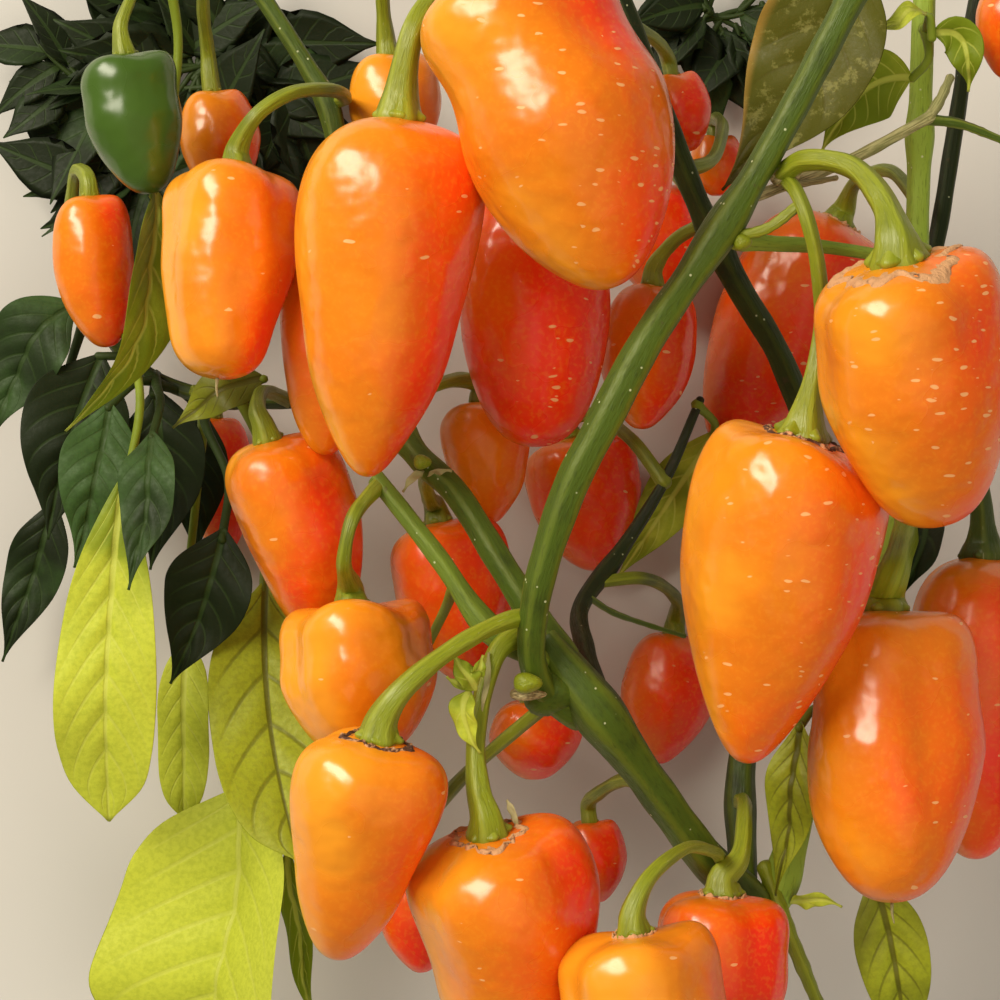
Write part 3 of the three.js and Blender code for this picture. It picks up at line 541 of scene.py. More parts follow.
def path_length(points):
    """The length of a broken line."""
    return np.linalg.norm(np.diff(np.asarray(points, float), axis=0), axis=1).sum()


def stepped_path(places, step, least=1):
    """A smooth path in steps of about one length, and each station's share of the way along it."""
    steps = max(least, int(path_length(places) / step))
    return smooth_path(places, steps), np.linspace(0, 1, steps + 1)


def path_frame(path):
    """Tangent, side and front at each station of a path: the front starts from the direction that
    the path spreads in least, so the rings don't turn about the path."""
    tangent = unit(np.gradient(path, axis=0))
    least = np.linalg.svd(path - path.mean(axis=0), full_matrices=False)[2][2]
    side = unit(np.cross(least, tangent))
    return tangent, side, np.cross(tangent, side)


def rolled(tangent, roll):
    """The level direction across a tangent, rolled about it by an angle, and the one square to both."""
    side = unit(np.cross([0, 0, 1], tangent))
    side = side * np.cos(roll) + np.cross(tangent, side) * np.sin(roll)
    return side, np.cross(tangent, side)


def between(stations, v):
    """A smooth value between evenly spaced stations, at shares v of the way along them: a
    Catmull-Rom spline that runs on straight past both ends."""
    ends = (2 * stations[0] - stations[1], 2 * stations[-1] - stations[-2])
    padded = np.array([ends[0], *stations, ends[1]])
    place = np.clip(v, 0, 1) * (len(stations) - 1)
    i = np.minimum(place.astype(int), len(stations) - 2)
    t = place - i
    a, b, c, d = (padded[i + n] for n in range(4))
    return b + 0.5 * t * (c - a + t * (2 * a - 5 * b + 4 * c - d + t * (3 * (b - c) + d - a)))


def bump(x, middle, spread):
    """A bell-shaped rise to 1 at the middle."""
    return np.exp(-(((x - middle) / spread) ** 2))


def swells(seed, polar, turn, size):
    """A slow, seeded unevenness: five products of a wave round the axis and a wave along it, which
    die away at both poles."""
    rng = np.random.default_rng(seed)
    waves = rng.integers(1, 5, (5, 2))
    starts = rng.uniform(0, 2 * np.pi, (5, 2))
    heights = size * rng.uniform(0.4, 1.0, 5)
    return np.sin(polar) * sum(
        h * np.cos(w[0] * turn + s[0]) * np.sin(w[1] * polar + s[1])
        for h, w, s in zip(heights, waves, starts)
    )


# Skins: closed surfaces as arrays of points and faces

def enclosed(points, quads, triangles):
    """Six times the volume inside the faces: the sum of the triple products of their corners."""
    corners = np.concatenate([quads[:, [0, 1, 2]], quads[:, [0, 2, 3]], triangles])
    a, b, c = points[corners].transpose(1, 0, 2)
    return np.einsum("ij,ij->", a, np.cross(b, c))


def closed_skin(grids, **values):
    """A skin from grids of points (count, rows, columns, 3): the columns join round, and the first
    and last rows each close on their own middle. values are numbers at the points, by name."""
    grids = grids if grids.ndim == 4 else grids[None]
    count, rows, columns = grids.shape[:3]
    size = rows * columns

    def with_poles(array):
        array = np.broadcast_to(array, grids.shape[:3] + array.shape[3:])
        poles = np.stack([array[:, 0].mean(axis=1), array[:, -1].mean(axis=1)], axis=1)
        flat = array.reshape(count, size, *array.shape[3:])
        return np.concatenate([flat, poles], axis=1).reshape(-1, *array.shape[3:])

    row, column = np.indices((rows - 1, columns))
    corner = row * columns + column
    beside = row * columns + (column + 1) % columns
    quads = np.stack([corner, beside, beside + columns, corner + columns], axis=-1).reshape(-1, 4)
    ring = np.arange(columns)
    following = np.roll(ring, -1)
    last = size - columns
    triangles = np.concatenate([
        np.stack([following, ring, np.full(columns, size)], axis=1),
        np.stack([ring + last, following + last, np.full(columns, size + 1)], axis=1),
    ])
    shift = (np.arange(count) * (size + 2))[:, None, None]
    points = with_poles(grids)
    quads = (quads + shift).reshape(-1, 4)
    triangles = (triangles + shift).reshape(-1, 3)
    if enclosed(points, quads, triangles) < 0:
        quads, triangles = quads[:, ::-1], triangles[:, ::-1]
    full = {name: np.broadcast_to(np.asarray(array, float), grids.shape[:3])
            for name, array in values.items()}
    return {"points": points, "quads": quads, "triangles": triangles,
            "values": {name: with_poles(array) for name, array in full.items()}}


def joined(skins):
    """Several skins as one, with every named number on all of them."""
    starts = np.cumsum([0] + [len(s["points"]) for s in skins])
    names = sorted({name for s in skins for name in s["values"]})
    return {
        "points": np.concatenate([s["points"] for s in skins]),
        "quads": np.concatenate([s["quads"] + n for s, n in zip(skins, starts)]),
        "triangles": np.concatenate([s["triangles"] + n for s, n in zip(skins, starts)]),
        "values": {
            name: np.concatenate([s["values"].get(name, np.zeros(len(s["points"]))) for s in skins])
            for name in names
        },
    }


def with_value(skin, **values):
    """A skin with one more number, the same all over it, for each name."""
    for name, value in values.items():
        skin["values"][name] = np.full(len(skin["points"]), float(value))
    return skin


def make_piece(name, skins, material, slot, node_name):
    """Puts skins into one smooth mesh object at the origin with its material, hangs it on the root
    body and hides the imported part that it stands for."""
    whole = joined(skins)
    corners = np.concatenate([whole["quads"].ravel(), whole["triangles"].ravel()])
    quads, triangles = len(whole["quads"]), len(whole["triangles"])
    starts = np.concatenate([np.arange(quads) * 4, quads * 4 + np.arange(triangles) * 3])
    mesh = bpy.data.meshes.new(name)
    mesh.vertices.add(len(whole["points"]))
    mesh.vertices.foreach_set("co", (whole["points"] * MM).ravel())
    mesh.loops.add(len(corners))
    mesh.loops.foreach_set("vertex_index", corners.astype(np.int32))
    mesh.polygons.add(len(starts))
    mesh.polygons.foreach_set("loop_start", starts.astype(np.int32))
    mesh.materials.append(material)
    for key, array in whole["values"].items():
        layer = mesh.attributes.new(key, "FLOAT", "POINT")
        layer.data.foreach_set("value", array.astype(np.float32))
    mesh.update(calc_edges=True)
    mesh.shade_smooth()
    piece = bpy.data.objects.new(name, mesh)
    bpy.context.scene.collection.objects.link(piece)
    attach(piece, "root")
    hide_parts(node_name)


def tube(path, radius, count, ribs=0.0, rib_count=5, twist=0.0, start=0.0, ends=("round", "round")):
    """A bar's skin: rings square to the path, their radius waved by ribs that may twist along it.
    Each end is closed by further rings, as a dome or as a cut face with a narrow bevel."""
    tangent, side, front = path_frame(path)
    turn = around(count)
    share = np.linspace(0, 1, len(path))[:, None]
    wave = np.cos(rib_count * turn + twist * share + start)
    reach = np.asarray(radius, float).reshape(len(path), -1) * (1 + ribs * wave)
    grid = path[:, None] + reach[..., None] * (
        np.cos(turn)[..., None] * side[:, None] + np.sin(turn)[..., None] * front[:, None]
    )
    low, high = (
        np.array([
            path[n] + (grid[n] - path[n]) * kept + outwards * reach[n].mean() * bulge
            for kept, bulge in CAPS[kind]
        ])
        for n, outwards, kind in ((0, -tangent[0], ends[0]), (-1, tangent[-1], ends[1]))
    )
    grid = np.concatenate([low[::-1], grid, high])
    pad = ((len(low), len(high)), (0, 0))
    along = np.pad(np.broadcast_to(share, wave.shape), pad, mode="edge")
    rib = np.pad(wave * 0.5 + 0.5, pad, mode="edge")
    cut = np.zeros(grid.shape[:2])
    cut[:len(low)] = ends[0] == "cut"
    cut[len(grid) - len(high):] = ends[1] == "cut"
    return closed_skin(grid, along=along, rib=rib, cut=cut, east=np.cos(turn), north=np.sin(turn),
                       run=along * path_length(path))


# Fruits

def fruit_frame(f):
    """The crown of a fruit, the directions along it, to its side and to its front, and its length."""
    crown = seen([(*f.crown, f.z + f.lean / 2)])[0]
    tip = seen([(*f.tip, f.z - f.lean / 2)])[0]
    length = np.linalg.norm(tip - crown)
    axis = (tip - crown) / length
    side = unit(np.cross([0, 0, 1], axis))
    crown[2] += f.lift
    return crown, axis, side, np.cross(axis, side), length


def fruit_skin(f, polar, turn, proud=0.0):
    """Where a fruit's skin lies, or a point proud of it, for arrays of the polar angle from its
    crown and the turn round its axis. An ellipse is widened by the girths and waved by lobes that
    die away towards the tip, with creases between them and slow swells; the shoulders rise round
    the stalk and the tip is pulled in."""
    crown, axis, side, front, length = fruit_frame(f)
    v = (1 - np.cos(polar)) / 2
    lobe_wave = np.cos(3 * turn + f.phase)
    lobes = 1 + f.lobe * lobe_wave * (1 - v)
    creases = 1 - f.groove * (0.5 - 0.5 * lobe_wave) ** 4 * bump(v, 0.15, 0.4)
    ridges = np.cos(5 * turn + 2 * f.phase) + 0.6 * np.cos(8 * turn + f.seed + 2 * polar)
    uneven = 1 + swells(f.seed, polar, turn, f.swell) + f.ridge * ridges * np.sin(polar)
    reach = f.width / 2 * np.sin(polar) * between(f.girths, v) * lobes * creases * uneven
    shoulder = bump(polar, SHOULDER_AT, SHOULDER_SPREAD)
    rise = f.rise * (0.55 + 0.45 * lobe_wave) + f.tilt * np.cos(turn)
    down = v * length - shoulder * rise - f.dent * bump(polar, np.pi, TIP_SPREAD)
    reach = reach + proud * np.sin(polar)
    down = down - proud * np.cos(polar)
    bow = f.bend * np.sin(np.pi * v)
    return (
        crown
        + down[..., None] * axis
        + (reach * np.cos(turn) + bow)[..., None] * side
        + (reach * np.sin(turn) * f.depth)[..., None] * front
    )


def complete_fruit(name):
    """A fruit's row with its girths, calyx, seed, and lift onto the ground where it rests."""
    f = FRUITS[name]
    f = replace(f, seed=int(name[-2:]), girths=f.girths or GIRTHS[f.girth],
                calyx=f.calyx or CALYX_RADIUS * min(1.0, f.width / CALYX_FRUIT))
    if f.rests:
        polar, turn = np.meshgrid(np.linspace(0, np.pi, 60), np.linspace(0, 2 * np.pi, 60))
        f = replace(f, lift=-fruit_skin(f, polar, turn)[..., 2].min())
    return f


def crown_angle(f, radius):
    """The polar angle at which a fruit's skin is so far from its axis, near the crown."""
    return np.arcsin(radius / (f.width / 2 * f.girths[0]))


def fruit_body(f):
    """The whole skin of a fruit, with how red and how flecked it is at each point; its redness includes
    painted shade that grows towards its right side.
    """
    fineness = FRONT_FRUIT if f.front else BACK_FRUIT
    polar = np.linspace(0, np.pi, fineness + 2)[1:-1, None]
    turn = around(fineness)
    v = (1 - np.cos(polar)) / 2 + 0 * turn
    patches = swells(f.seed + 50, polar, turn, 0.16)
    # blush: the fruit's redness, redder towards the tip and in random patches, plus painted shade that
    # reddens its right side
    blush = f.blush + f.slope * np.cos(turn) + 0.2 * (v - 0.4) + patches
    flecked = f.flecks * np.clip(0.45 + 0.55 * np.cos(turn - 0.4) + patches, 0, 1)
    return closed_skin(fruit_skin(f, polar, turn), along=v, blush=blush, flecked=flecked)


def calyx_skin(f):
    """The green cap at the crown: rings from the stalk outwards that lie on the fruit's shoulders,
    the outermost drawn out into teeth and turned in under its own edge."""
    share = np.array(CALYX_SHARES)[:, None]
    height = np.array(CALYX_HEIGHTS)[:, None]
    turn = around(60)
    tooth = np.cos(CALYX_TEETH * turn + f.seed)
    ragged = np.cos(7 * turn + 2.1 * f.seed) * 0.4 + np.cos(11 * turn + f.seed) * 0.25
    radius = f.calyx * share * (1 + (0.12 * tooth + 0.13 * ragged) * share**2)
    height = height * (1 + 0.12 * tooth + 0.1 * ragged) * f.calyx / CALYX_RADIUS * 0.9
    grid = fruit_skin(f, crown_angle(f, radius), turn, height)
    return closed_skin(grid, along=0.9 + 0.1 * share, rib=tooth * 0.5 + 0.5, dark=f.dark,
                       east=np.cos(turn), north=np.sin(turn), run=radius)


def stalk_skin(f):
    """The stalk from its limb to the crown: a ribbed bar, a little thicker at its joint, that
    flares into the calyx as a high power of the way along."""
    crown, axis, *_ = fruit_frame(f)
    places = np.vstack([seen(f.stalk), crown - axis * STALK_RISE, crown - axis * 0.2])
    path, share = stepped_path(places, STALK_STEP)
    rng = np.random.default_rng(f.seed + 100)
    lumps = sum(0.025 * np.cos(n * 9 * share + rng.uniform(0, 6)) for n in (1, 2, 3))
    thick = f.stalk_radius * (1 + f.swollen * (1 - share) ** 5 + 0.16 * share**2 + lumps)
    flare = share ** (path_length(path) / FLARE_LENGTH)
    radius = thick + (0.94 * f.calyx - f.stalk_radius) * flare
    return with_value(tube(path, radius, STALK_AROUND, 0.07, twist=1.5, start=f.seed), dark=f.dark)


def scar_skin(f):
    """The corky ring where the calyx has torn loose: rings over the shoulders whose outer edge
    wanders in and out. It stands proud along a ridge near that edge and in rough patches, and is
    sunk in the fruit elsewhere."""
    share = np.concatenate([[0], np.linspace(0, 1, 16), [1]])[:, None]
    turn = around(132)
    rng = np.random.default_rng(f.seed + 200)

    def waves(orders, sizes, slants):
        starts = rng.uniform(0, 2 * np.pi, len(orders))
        return sum(s * np.cos(n * turn + m * share + a)
                   for n, s, m, a in zip(orders, sizes, slants, starts))

    wander = waves((2, 3, 5, 8, 13), (0.22, 0.2, 0.2, 0.14, 0.1), (0, 0, 0, 0, 0))
    rough = waves((7, 11, 16, 23, 31), (0.4, 0.35, 0.3, 0.25, 0.2), (5, -9, 13, 7, -17))
    inner = f.calyx * 0.8
    outer = f.calyx + f.scar * (0.65 + 0.6 * wander)
    radius = inner + (outer - inner) * share
    ridge = bump(share, 0.8, 0.16)
    height = 0.55 * ridge + 0.4 * rough * (0.4 + 0.6 * ridge) - 0.12
    height[[0, -1]] = -1.6
    grid = fruit_skin(f, crown_angle(f, radius), turn, height)
    return closed_skin(grid, worn=np.clip(f.scar_dark - 0.5 * rough + 0.35 * (0.6 - share), 0, 1))


def thread_skin(f):
    """The dry style left at a fruit's tip: a thin bar that droops a little to one side."""
    crown, axis, side, _, length = fruit_frame(f)
    tip = crown + axis * (length - 0.4)
    places = [tip, tip + axis * f.thread * 0.5, tip + axis * f.thread + side * 0.3]
    return tube(smooth_path(places, 8), np.linspace(0.35, 0.16, 9), 8)


# Limbs

def limb_skin(name, limb):
    """A tapering limb: a ribbed bar whose radius swells at its knots, cut flat at its ends."""
    path, share = stepped_path(seen(limb.places), LIMB_STEP)
    length = path_length(path)
    rng = np.random.default_rng(len(name) * 7 + int(limb.foot * 10))
    radius = limb.foot + (limb.tip - limb.foot) * share
    swell = sum(size * bump(share * length, at * length, long) for at, size, long in limb.knots)
    uneven = sum(0.018 * np.cos(n * share * length / 9 + rng.uniform(0, 6)) for n in (1, 2, 3, 5))
    skin = tube(path, radius * (1 + swell + uneven), LIMB_AROUND, 0.05, twist=2.5, ends=limb.ends)
    # dark is the limb's painted shade.
    return with_value(skin, dark=limb.dark, bright=limb.bright)


# Leaves

def blade_skin(leaf):
    """A leaf blade: a thin shell about a bent midrib that swings up and down. Its half width
    follows the outline's stations; it is folded along the midrib, waved at its edges and quilted
    between side veins, which lean towards the tip."""
    base, middle, tip = (seen([place])[0] for place in (leaf.base, leaf.middle, leaf.tip))
    fine = np.linspace(0, 1, 200)[:, None]
    curve = (1 - fine) ** 2 * base + 2 * fine * (1 - fine) * middle + fine**2 * tip
    rows, columns = LARGE_LEAF if leaf.width > SMALL_LEAF_WIDTH else SMALL_LEAF
    along = np.linspace(0, 1, rows)[:, None]
    midrib = evened(curve, along[:, 0])
    side, normal = rolled(unit(np.gradient(midrib, axis=0)), math.radians(leaf.roll))
    turn = around(columns)
    across = np.sign(np.cos(turn)) * np.abs(np.cos(turn)) ** 1.5
    half = np.maximum(0.3, leaf.width / 2 * between(leaf.outline, along))
    row = leaf.veins * (along - 0.15 * np.abs(across) - 0.10 * across**2)
    arch = np.sin(np.pi * along)
    wave = leaf.wave * across**2 * half * np.sin(2 * np.pi * (2.3 * along + 0.35 * np.sign(across)))
    swing = leaf.swing * np.sin(3 * np.pi * along + leaf.width) * arch
    quilt = leaf.quilt * (np.abs(np.sin(np.pi * row)) - 0.5) * (1 - across**2) * arch
    gutter = -0.35 * bump(across * half, 0, 0.8)
    rise = leaf.fold * np.abs(across) * half + wave + quilt + gutter + swing
    grid = (
        midrib[:, None]
        + (across * half)[..., None] * side[:, None]
        + (rise + LEAF_SHELL * np.sin(turn))[..., None] * normal[:, None]
    )
    # tone is painted light and shade, darker at the base by the leaf's painted shade
    return closed_skin(grid, along=along, row=row, rib=across * half, across=across, blade=1.0,
                       mottle=leaf.mottle, tone=leaf.tone + leaf.shade * np.clip(1 - along / 0.4, 0, 1))


def petiole_skin(places):
    """A leaf's stalk: a slim bar, thicker at its joint."""
    path, share = stepped_path(seen(places), STALK_STEP)
    skin = tube(path, PETIOLE_RADIUS * (1 + 0.5 * (1 - share) ** 6), 12, 0.06)
    skin["values"] = {"along": skin["values"]["along"]}
    return skin


# Foliage by a seeded branching rule

def swung(heading, lean, down, rise):
    """A heading turned by a lean to one side, then drawn down the picture and given a rise."""
    return unit(np.array([
        heading[0] * math.cos(lean) - heading[1] * math.sin(lean),
        heading[0] * math.sin(lean) + heading[1] * math.cos(lean) - down,
        rise,
    ]))


def grow_twigs(rng, start, heading, length, level):
    """Twigs from a start: each is a gently arched line that bears three shorter ones, which lean
    out to alternate sides. Gives the lines of all of them."""
    bend = rng.normal(0, 0.25, 3)
    share = np.linspace(0, 1, 6)[:, None]
    lines = [start + heading * length * share + bend * length * share**2 * [1, 1, 0.25]]
    if level == 0:
        return lines
    first, last = lines[0][[0, -1]]
    for number, at in enumerate(rng.uniform(0.3, 0.95, 3)):
        lean = (1 if number % 2 else -1) * rng.uniform(0.5, 1.1)
        turned = swung(heading, lean, 0.0, rng.normal(0, 0.1))
        lines += grow_twigs(rng, first + (last - first) * at, turned, length * rng.uniform(0.5, 0.7),
                            level - 1)
    return lines


def leaf_skins(rng, bases, headings, lengths, widths):
    """Many small leaves at once: the leaf outline with a fold and a droop to its tip, turned, scaled
    and placed on each base."""
    count = len(bases)
    along = np.linspace(0.0, 1, 9)[None, :, None]
    turn = around(8)[None]
    across = np.cos(turn)
    half = widths[:, None, None] / 2 * between(LEAF_OUTLINE, along) + 0.15
    length = lengths[:, None, None]
    droop = rng.uniform(0.0, 0.3, (count, 1, 1))
    fold = rng.uniform(0.1, 0.35, (count, 1, 1))
    wave = 0.12 * np.sin(9 * along + rng.uniform(0, 6, (count, 1, 1))) * across**2 * half
    rise = fold * np.abs(across) * half - droop * along**2 * length + wave + 0.15 * np.sin(turn)
    side, normal = rolled(headings, rng.normal(0, 0.4, (count, 1)))
    sway = rng.normal(0, 0.12, (count, 1, 1)) * along**2 * length
    grids = (
        bases[:, None, None]
        + (along * length)[..., None] * headings[:, None, None]
        + (across * half + sway)[..., None] * side[:, None, None]
        + rise[..., None] * normal[:, None, None]
    )
    row = 6 * (along - 0.15 * np.abs(across) - 0.1 * across**2)
    return closed_skin(grids, along=along, row=row, rib=across * half, across=across, blade=1.0)


def foliage_skins(shoot, middle, size, twigs, seed):
    """The skins of one mass: its shoot, twigs that fan out from the shoot's end over the space that
    it fills, and leaves on every twig in three sprays, each with its own tone of painted shade."""
    rng = np.random.default_rng(seed)
    scale = (EYE_HEIGHT - middle[2]) / PICTURE_FOCAL
    half = np.array([size[0] * scale, size[1] * scale, size[2]]) / 2
    middle = seen([middle])[0]
    shoot_end = seen(shoot)[-1]
    lines = []
    for number in range(twigs):
        angle = 2 * np.pi * number / twigs + rng.normal(0, 0.15)
        aim = middle + half * [math.cos(angle), math.sin(angle), rng.uniform(-0.5, 0.8)] * 0.9
        start = middle + (shoot_end - middle) * rng.uniform(0.2, 1)
        reach = np.linalg.norm(aim - start)
        lines += grow_twigs(rng, start, unit(aim - start), reach * TWIG_REACH, 1)
    skins = [petiole_skin(shoot)]
    sprays = {tone: [] for tone in SPRAY_SHADE_TONES}
    for number, line in enumerate(lines):
        line = line[np.linalg.norm((line - middle) / half, axis=1) < TWIG_BOUND]
        if len(line) < 3:
            continue
        line[:, 2] = np.clip(line[:, 2], TWIG_FLOOR, None)
        skins.append(tube(smooth_path(line, 8), np.linspace(0.75, 0.4, 9), 6))
        heading = unit(line[-1] - line[0])
        for share in (0.5, 1.0):
            place = line[int(share * (len(line) - 1))]
            turned = swung(heading, rng.normal(0, 0.6), 0.5, rng.uniform(0.0, 0.4))
            length = rng.uniform(*SMALL_LEAF_LENGTHS)
            if np.linalg.norm((place + turned * length - middle) / half) < LEAF_BOUND:
                sprays[SPRAY_SHADE_TONES[number % 3]].append((place, turned, length))
    leaves = []
    for tone, spray in sprays.items():
        bases, headings, lengths = (np.array(column) for column in zip(*spray))
        leaf = leaf_skins(rng, bases, headings, lengths, lengths * rng.uniform(0.44, 0.58, len(spray)))
        leaf["points"][:, 2] = np.clip(leaf["points"][:, 2], LEAF_FLOOR, None)
        leaves.append(with_value(leaf, tone=tone))
    return joined(skins), leaves


# Small things

def twig_skin(places, foot, tip):
    """A short ribbed bar with a few slow swellings."""
    path, share = stepped_path(seen(places), STALK_STEP, 6)
    radius = foot + (tip - foot) * share + 0.08 * foot * np.cos(13 * share) * np.cos(31 * share)
    return tube(path, radius, 14, 0.09, rib_count=4, twist=2)


def bud_skin(place, radii):
    """A small ellipsoid, dented by three shallow waves."""
    polar = np.linspace(0, np.pi, 14)[1:-1, None]
    turn = around(20)
    reach = 1 + 0.08 * np.cos(3 * turn) * np.sin(polar)
    ball = np.stack([np.sin(polar) * np.cos(turn), np.sin(polar) * np.sin(turn),
                     np.cos(polar) + 0 * turn], axis=-1)
    return closed_skin(seen([place])[0] + ball * reach[..., None] * radii, rib=0.5, along=0.5,
                       east=ball[..., 0], north=ball[..., 1], run=ball[..., 2])


# Materials

class Finish:
    """A new material. Each method adds a node and gives its output, for numbers or outputs."""

    def __init__(self, name):
        self.material = bpy.data.materials.new(name)
        self.material.use_nodes = True
        self.tree = self.material.node_tree
        self.tree.nodes.clear()
        self.shader = self.add("BsdfPrincipled")
        self.add("OutputMaterial", {"Surface": self.shader.outputs[0]})

    def feed(self, made, inputs):
        """Links or sets a node's inputs."""
        for key, value in inputs.items():
            if isinstance(value, bpy.types.NodeSocket):
                self.tree.links.new(value, made.inputs[key])
            else:
                made.inputs[key].default_value = value

    def add(self, kind, inputs=None, **settings):
        """The node itself."""
        made = self.tree.nodes.new(f"ShaderNode{kind}")
        for key, value in settings.items():
            setattr(made, key, value)
        self.feed(made, inputs or {})
        return made

    def sum(self, operation, a, b=0.0):
        """One sum on two numbers."""
        return self.add("Math", {0: a, 1: b}, operation=operation).outputs[0]

    def plus(self, a, b):
        return self.sum("ADD", a, b)

    def minus(self, a, b):
        return self.sum("SUBTRACT", a, b)

    def times(self, a, b):
        return self.sum("MULTIPLY", a, b)

    def mix(self, share, a, b):
        """A colour between two colours."""
        a, b = (c if isinstance(c, bpy.types.NodeSocket) else (*c, 1.0) for c in (a, b))
        return self.add("Mix", {0: share, 6: a, 7: b}, data_type="RGBA").outputs[2]

    def ramp(self, value, low, high, to_low=0.0, to_high=1.0):
        """A smooth step of a value from one range to another."""
        ranges = {"Value": value, "From Min": low, "From Max": high, "To Min": to_low, "To Max": to_high}
        return self.add("MapRange", ranges, interpolation_type="SMOOTHSTEP").outputs[0]

    def named(self, attribute):
        """A number stored on the mesh."""
        return self.add("Attribute", attribute_name=attribute).outputs["Fac"]

    def place(self):
        """The place in the object's own space."""
        return self.add("TexCoord").outputs["Object"]

    def noise(self, scale, detail=2.0, roughness=0.5, place=None, output="Fac"):
        """Noise at so many waves a metre, or over another place."""
        inputs = {"Vector": place or self.place(), "Scale": scale, "Detail": detail,
                  "Roughness": roughness}
        return self.add("TexNoise", inputs).outputs[output]

    def grain(self, scale):
        """Noise drawn out along a bar: its place is the direction round the bar and a slow run."""
        place = {"X": self.named("east"), "Y": self.named("north"), "Z": self.times(self.named("run"), 0.06)}
        return self.noise(scale, 3.0, 0.6, self.add("CombineXYZ", place).outputs[0])

    def cells(self, place, scale):
        """Random cells: the distance to each middle, and two random draws for each cell."""
        cells = self.add("TexVoronoi", {"Vector": place, "Scale": scale})
        draws = self.add("SeparateColor", {"Color": cells.outputs["Color"]}).outputs
        return cells.outputs["Distance"], draws["Red"], draws["Green"]

    def finished(self, colour, roughness, height=None, strength=0.0, depth=0.0, specular=0.5):
        """The material, with a bump from a height."""
        self.feed(self.shader, {"Base Color": colour, "Roughness": roughness,
                                "Specular IOR Level": specular})
        if height:
            bump_node = self.add("Bump", {"Height": height, "Strength": strength, "Distance": depth})
            self.feed(self.shader, {"Normal": bump_node.outputs[0]})
        return self.material


def fruit_material(name, ripe_skin, deep, amber, fleck, depth):
    """Waxy skin: orange to deep red by the blush on the mesh, which holds painted shade on the right
    side as well as the fruit's own redness, amber at the shoulders, faintly mottled, with pale corky
    dashes that run round the fruit."""
    m = Finish(name)
    mottle = m.noise(50.0, 3.0)
    blush = m.plus(m.named("blush"), m.ramp(mottle, 0.25, 0.75, -0.24, 0.24))
    skin = m.mix(m.ramp(blush, -0.1, 1.1), ripe_skin, deep)
    skin = m.mix(m.ramp(blush, 0.0, -0.6), skin, amber)
    skin = m.mix(m.ramp(m.named("along"), 0.16, 0.0, 0.0, 0.35), skin, amber)
    skin = m.mix(m.ramp(m.noise(1100.0, 1.0), 0.45, 0.75, 0.0, 0.2), skin, amber)
    wobble = m.add("VectorMath", {0: m.noise(260.0, 1.0, output="Color"), 1: FLECK_WOBBLE},
                   operation="MULTIPLY").outputs[0]
    place = m.add("VectorMath", {0: m.place(), 1: wobble}).outputs[0]
    place = m.add("Mapping", {"Vector": place, "Scale": FLECK_CELLS}).outputs[0]
    distance, chance, size = m.cells(place, 1.0)
    inside = m.minus(m.ramp(size, 0.0, 1.0, 0.07, 0.31), distance)
    chosen = m.sum("LESS_THAN", chance, m.times(m.named("flecked"), 0.62))
    flecks = m.times(m.ramp(inside, -0.015, 0.05), chosen)
    skin = m.mix(m.times(flecks, 0.8), skin, fleck)
    gloss = m.plus(m.ramp(mottle, 0.3, 0.7, 0.2, 0.32), m.times(flecks, 0.3))
    return m.finished(skin, gloss, m.noise(200.0, 1.0), 0.6, depth, specular=0.75)


def scar_material(tan, brown):
    """Dry cork: tan ridges and brown cracks, quite matt."""
    m = Finish("corky_scar")
    cracks = m.noise(900.0, 4.0, 0.7)
    worn = m.plus(m.named("worn"), m.ramp(cracks, 0.3, 0.7, -0.35, 0.35))
    return m.finished(m.mix(m.ramp(worn, 0.15, 0.75), tan, brown), 0.78, cracks, 0.9, 0.0006)


def stalk_material(name, bright, shaded):
    """Fresh stalk: yellow-green with paler ribs as a painted highlight, fine streaks, and painted shade that
    darkens those in shade.
    """
    m = Finish(name)
    streaks = m.grain(5.0)
    # dark is the stalk's painted shade, varied by random patches.
    dark = m.plus(m.named("dark"), m.ramp(m.noise(90.0), 0.3, 0.7, -0.2, 0.2))
    tone = m.mix(m.ramp(dark, 0.0, 1.0), bright, shaded)
    # Painted highlight along the ribs, weaker where the painted shade is.
    pale = m.times(m.ramp(m.named("rib"), 0.5, 1.0, 0.0, 0.3),
                   m.ramp(m.named("dark"), 0.0, 1.0, 1.0, 0.3))
    tone = m.mix(pale, tone, STALK_RIB_HIGHLIGHT)
    tone = m.mix(m.ramp(streaks, 0.45, 0.8, 0.0, 0.35), tone, shaded)
    tone = m.mix(m.ramp(m.grain(9.0), 0.66, 0.74, 0.0, 0.5), tone, STALK_SCRATCH)
    return m.finished(tone, m.ramp(streaks, 0.3, 0.7, 0.34, 0.5), streaks, 0.5, 0.0005)


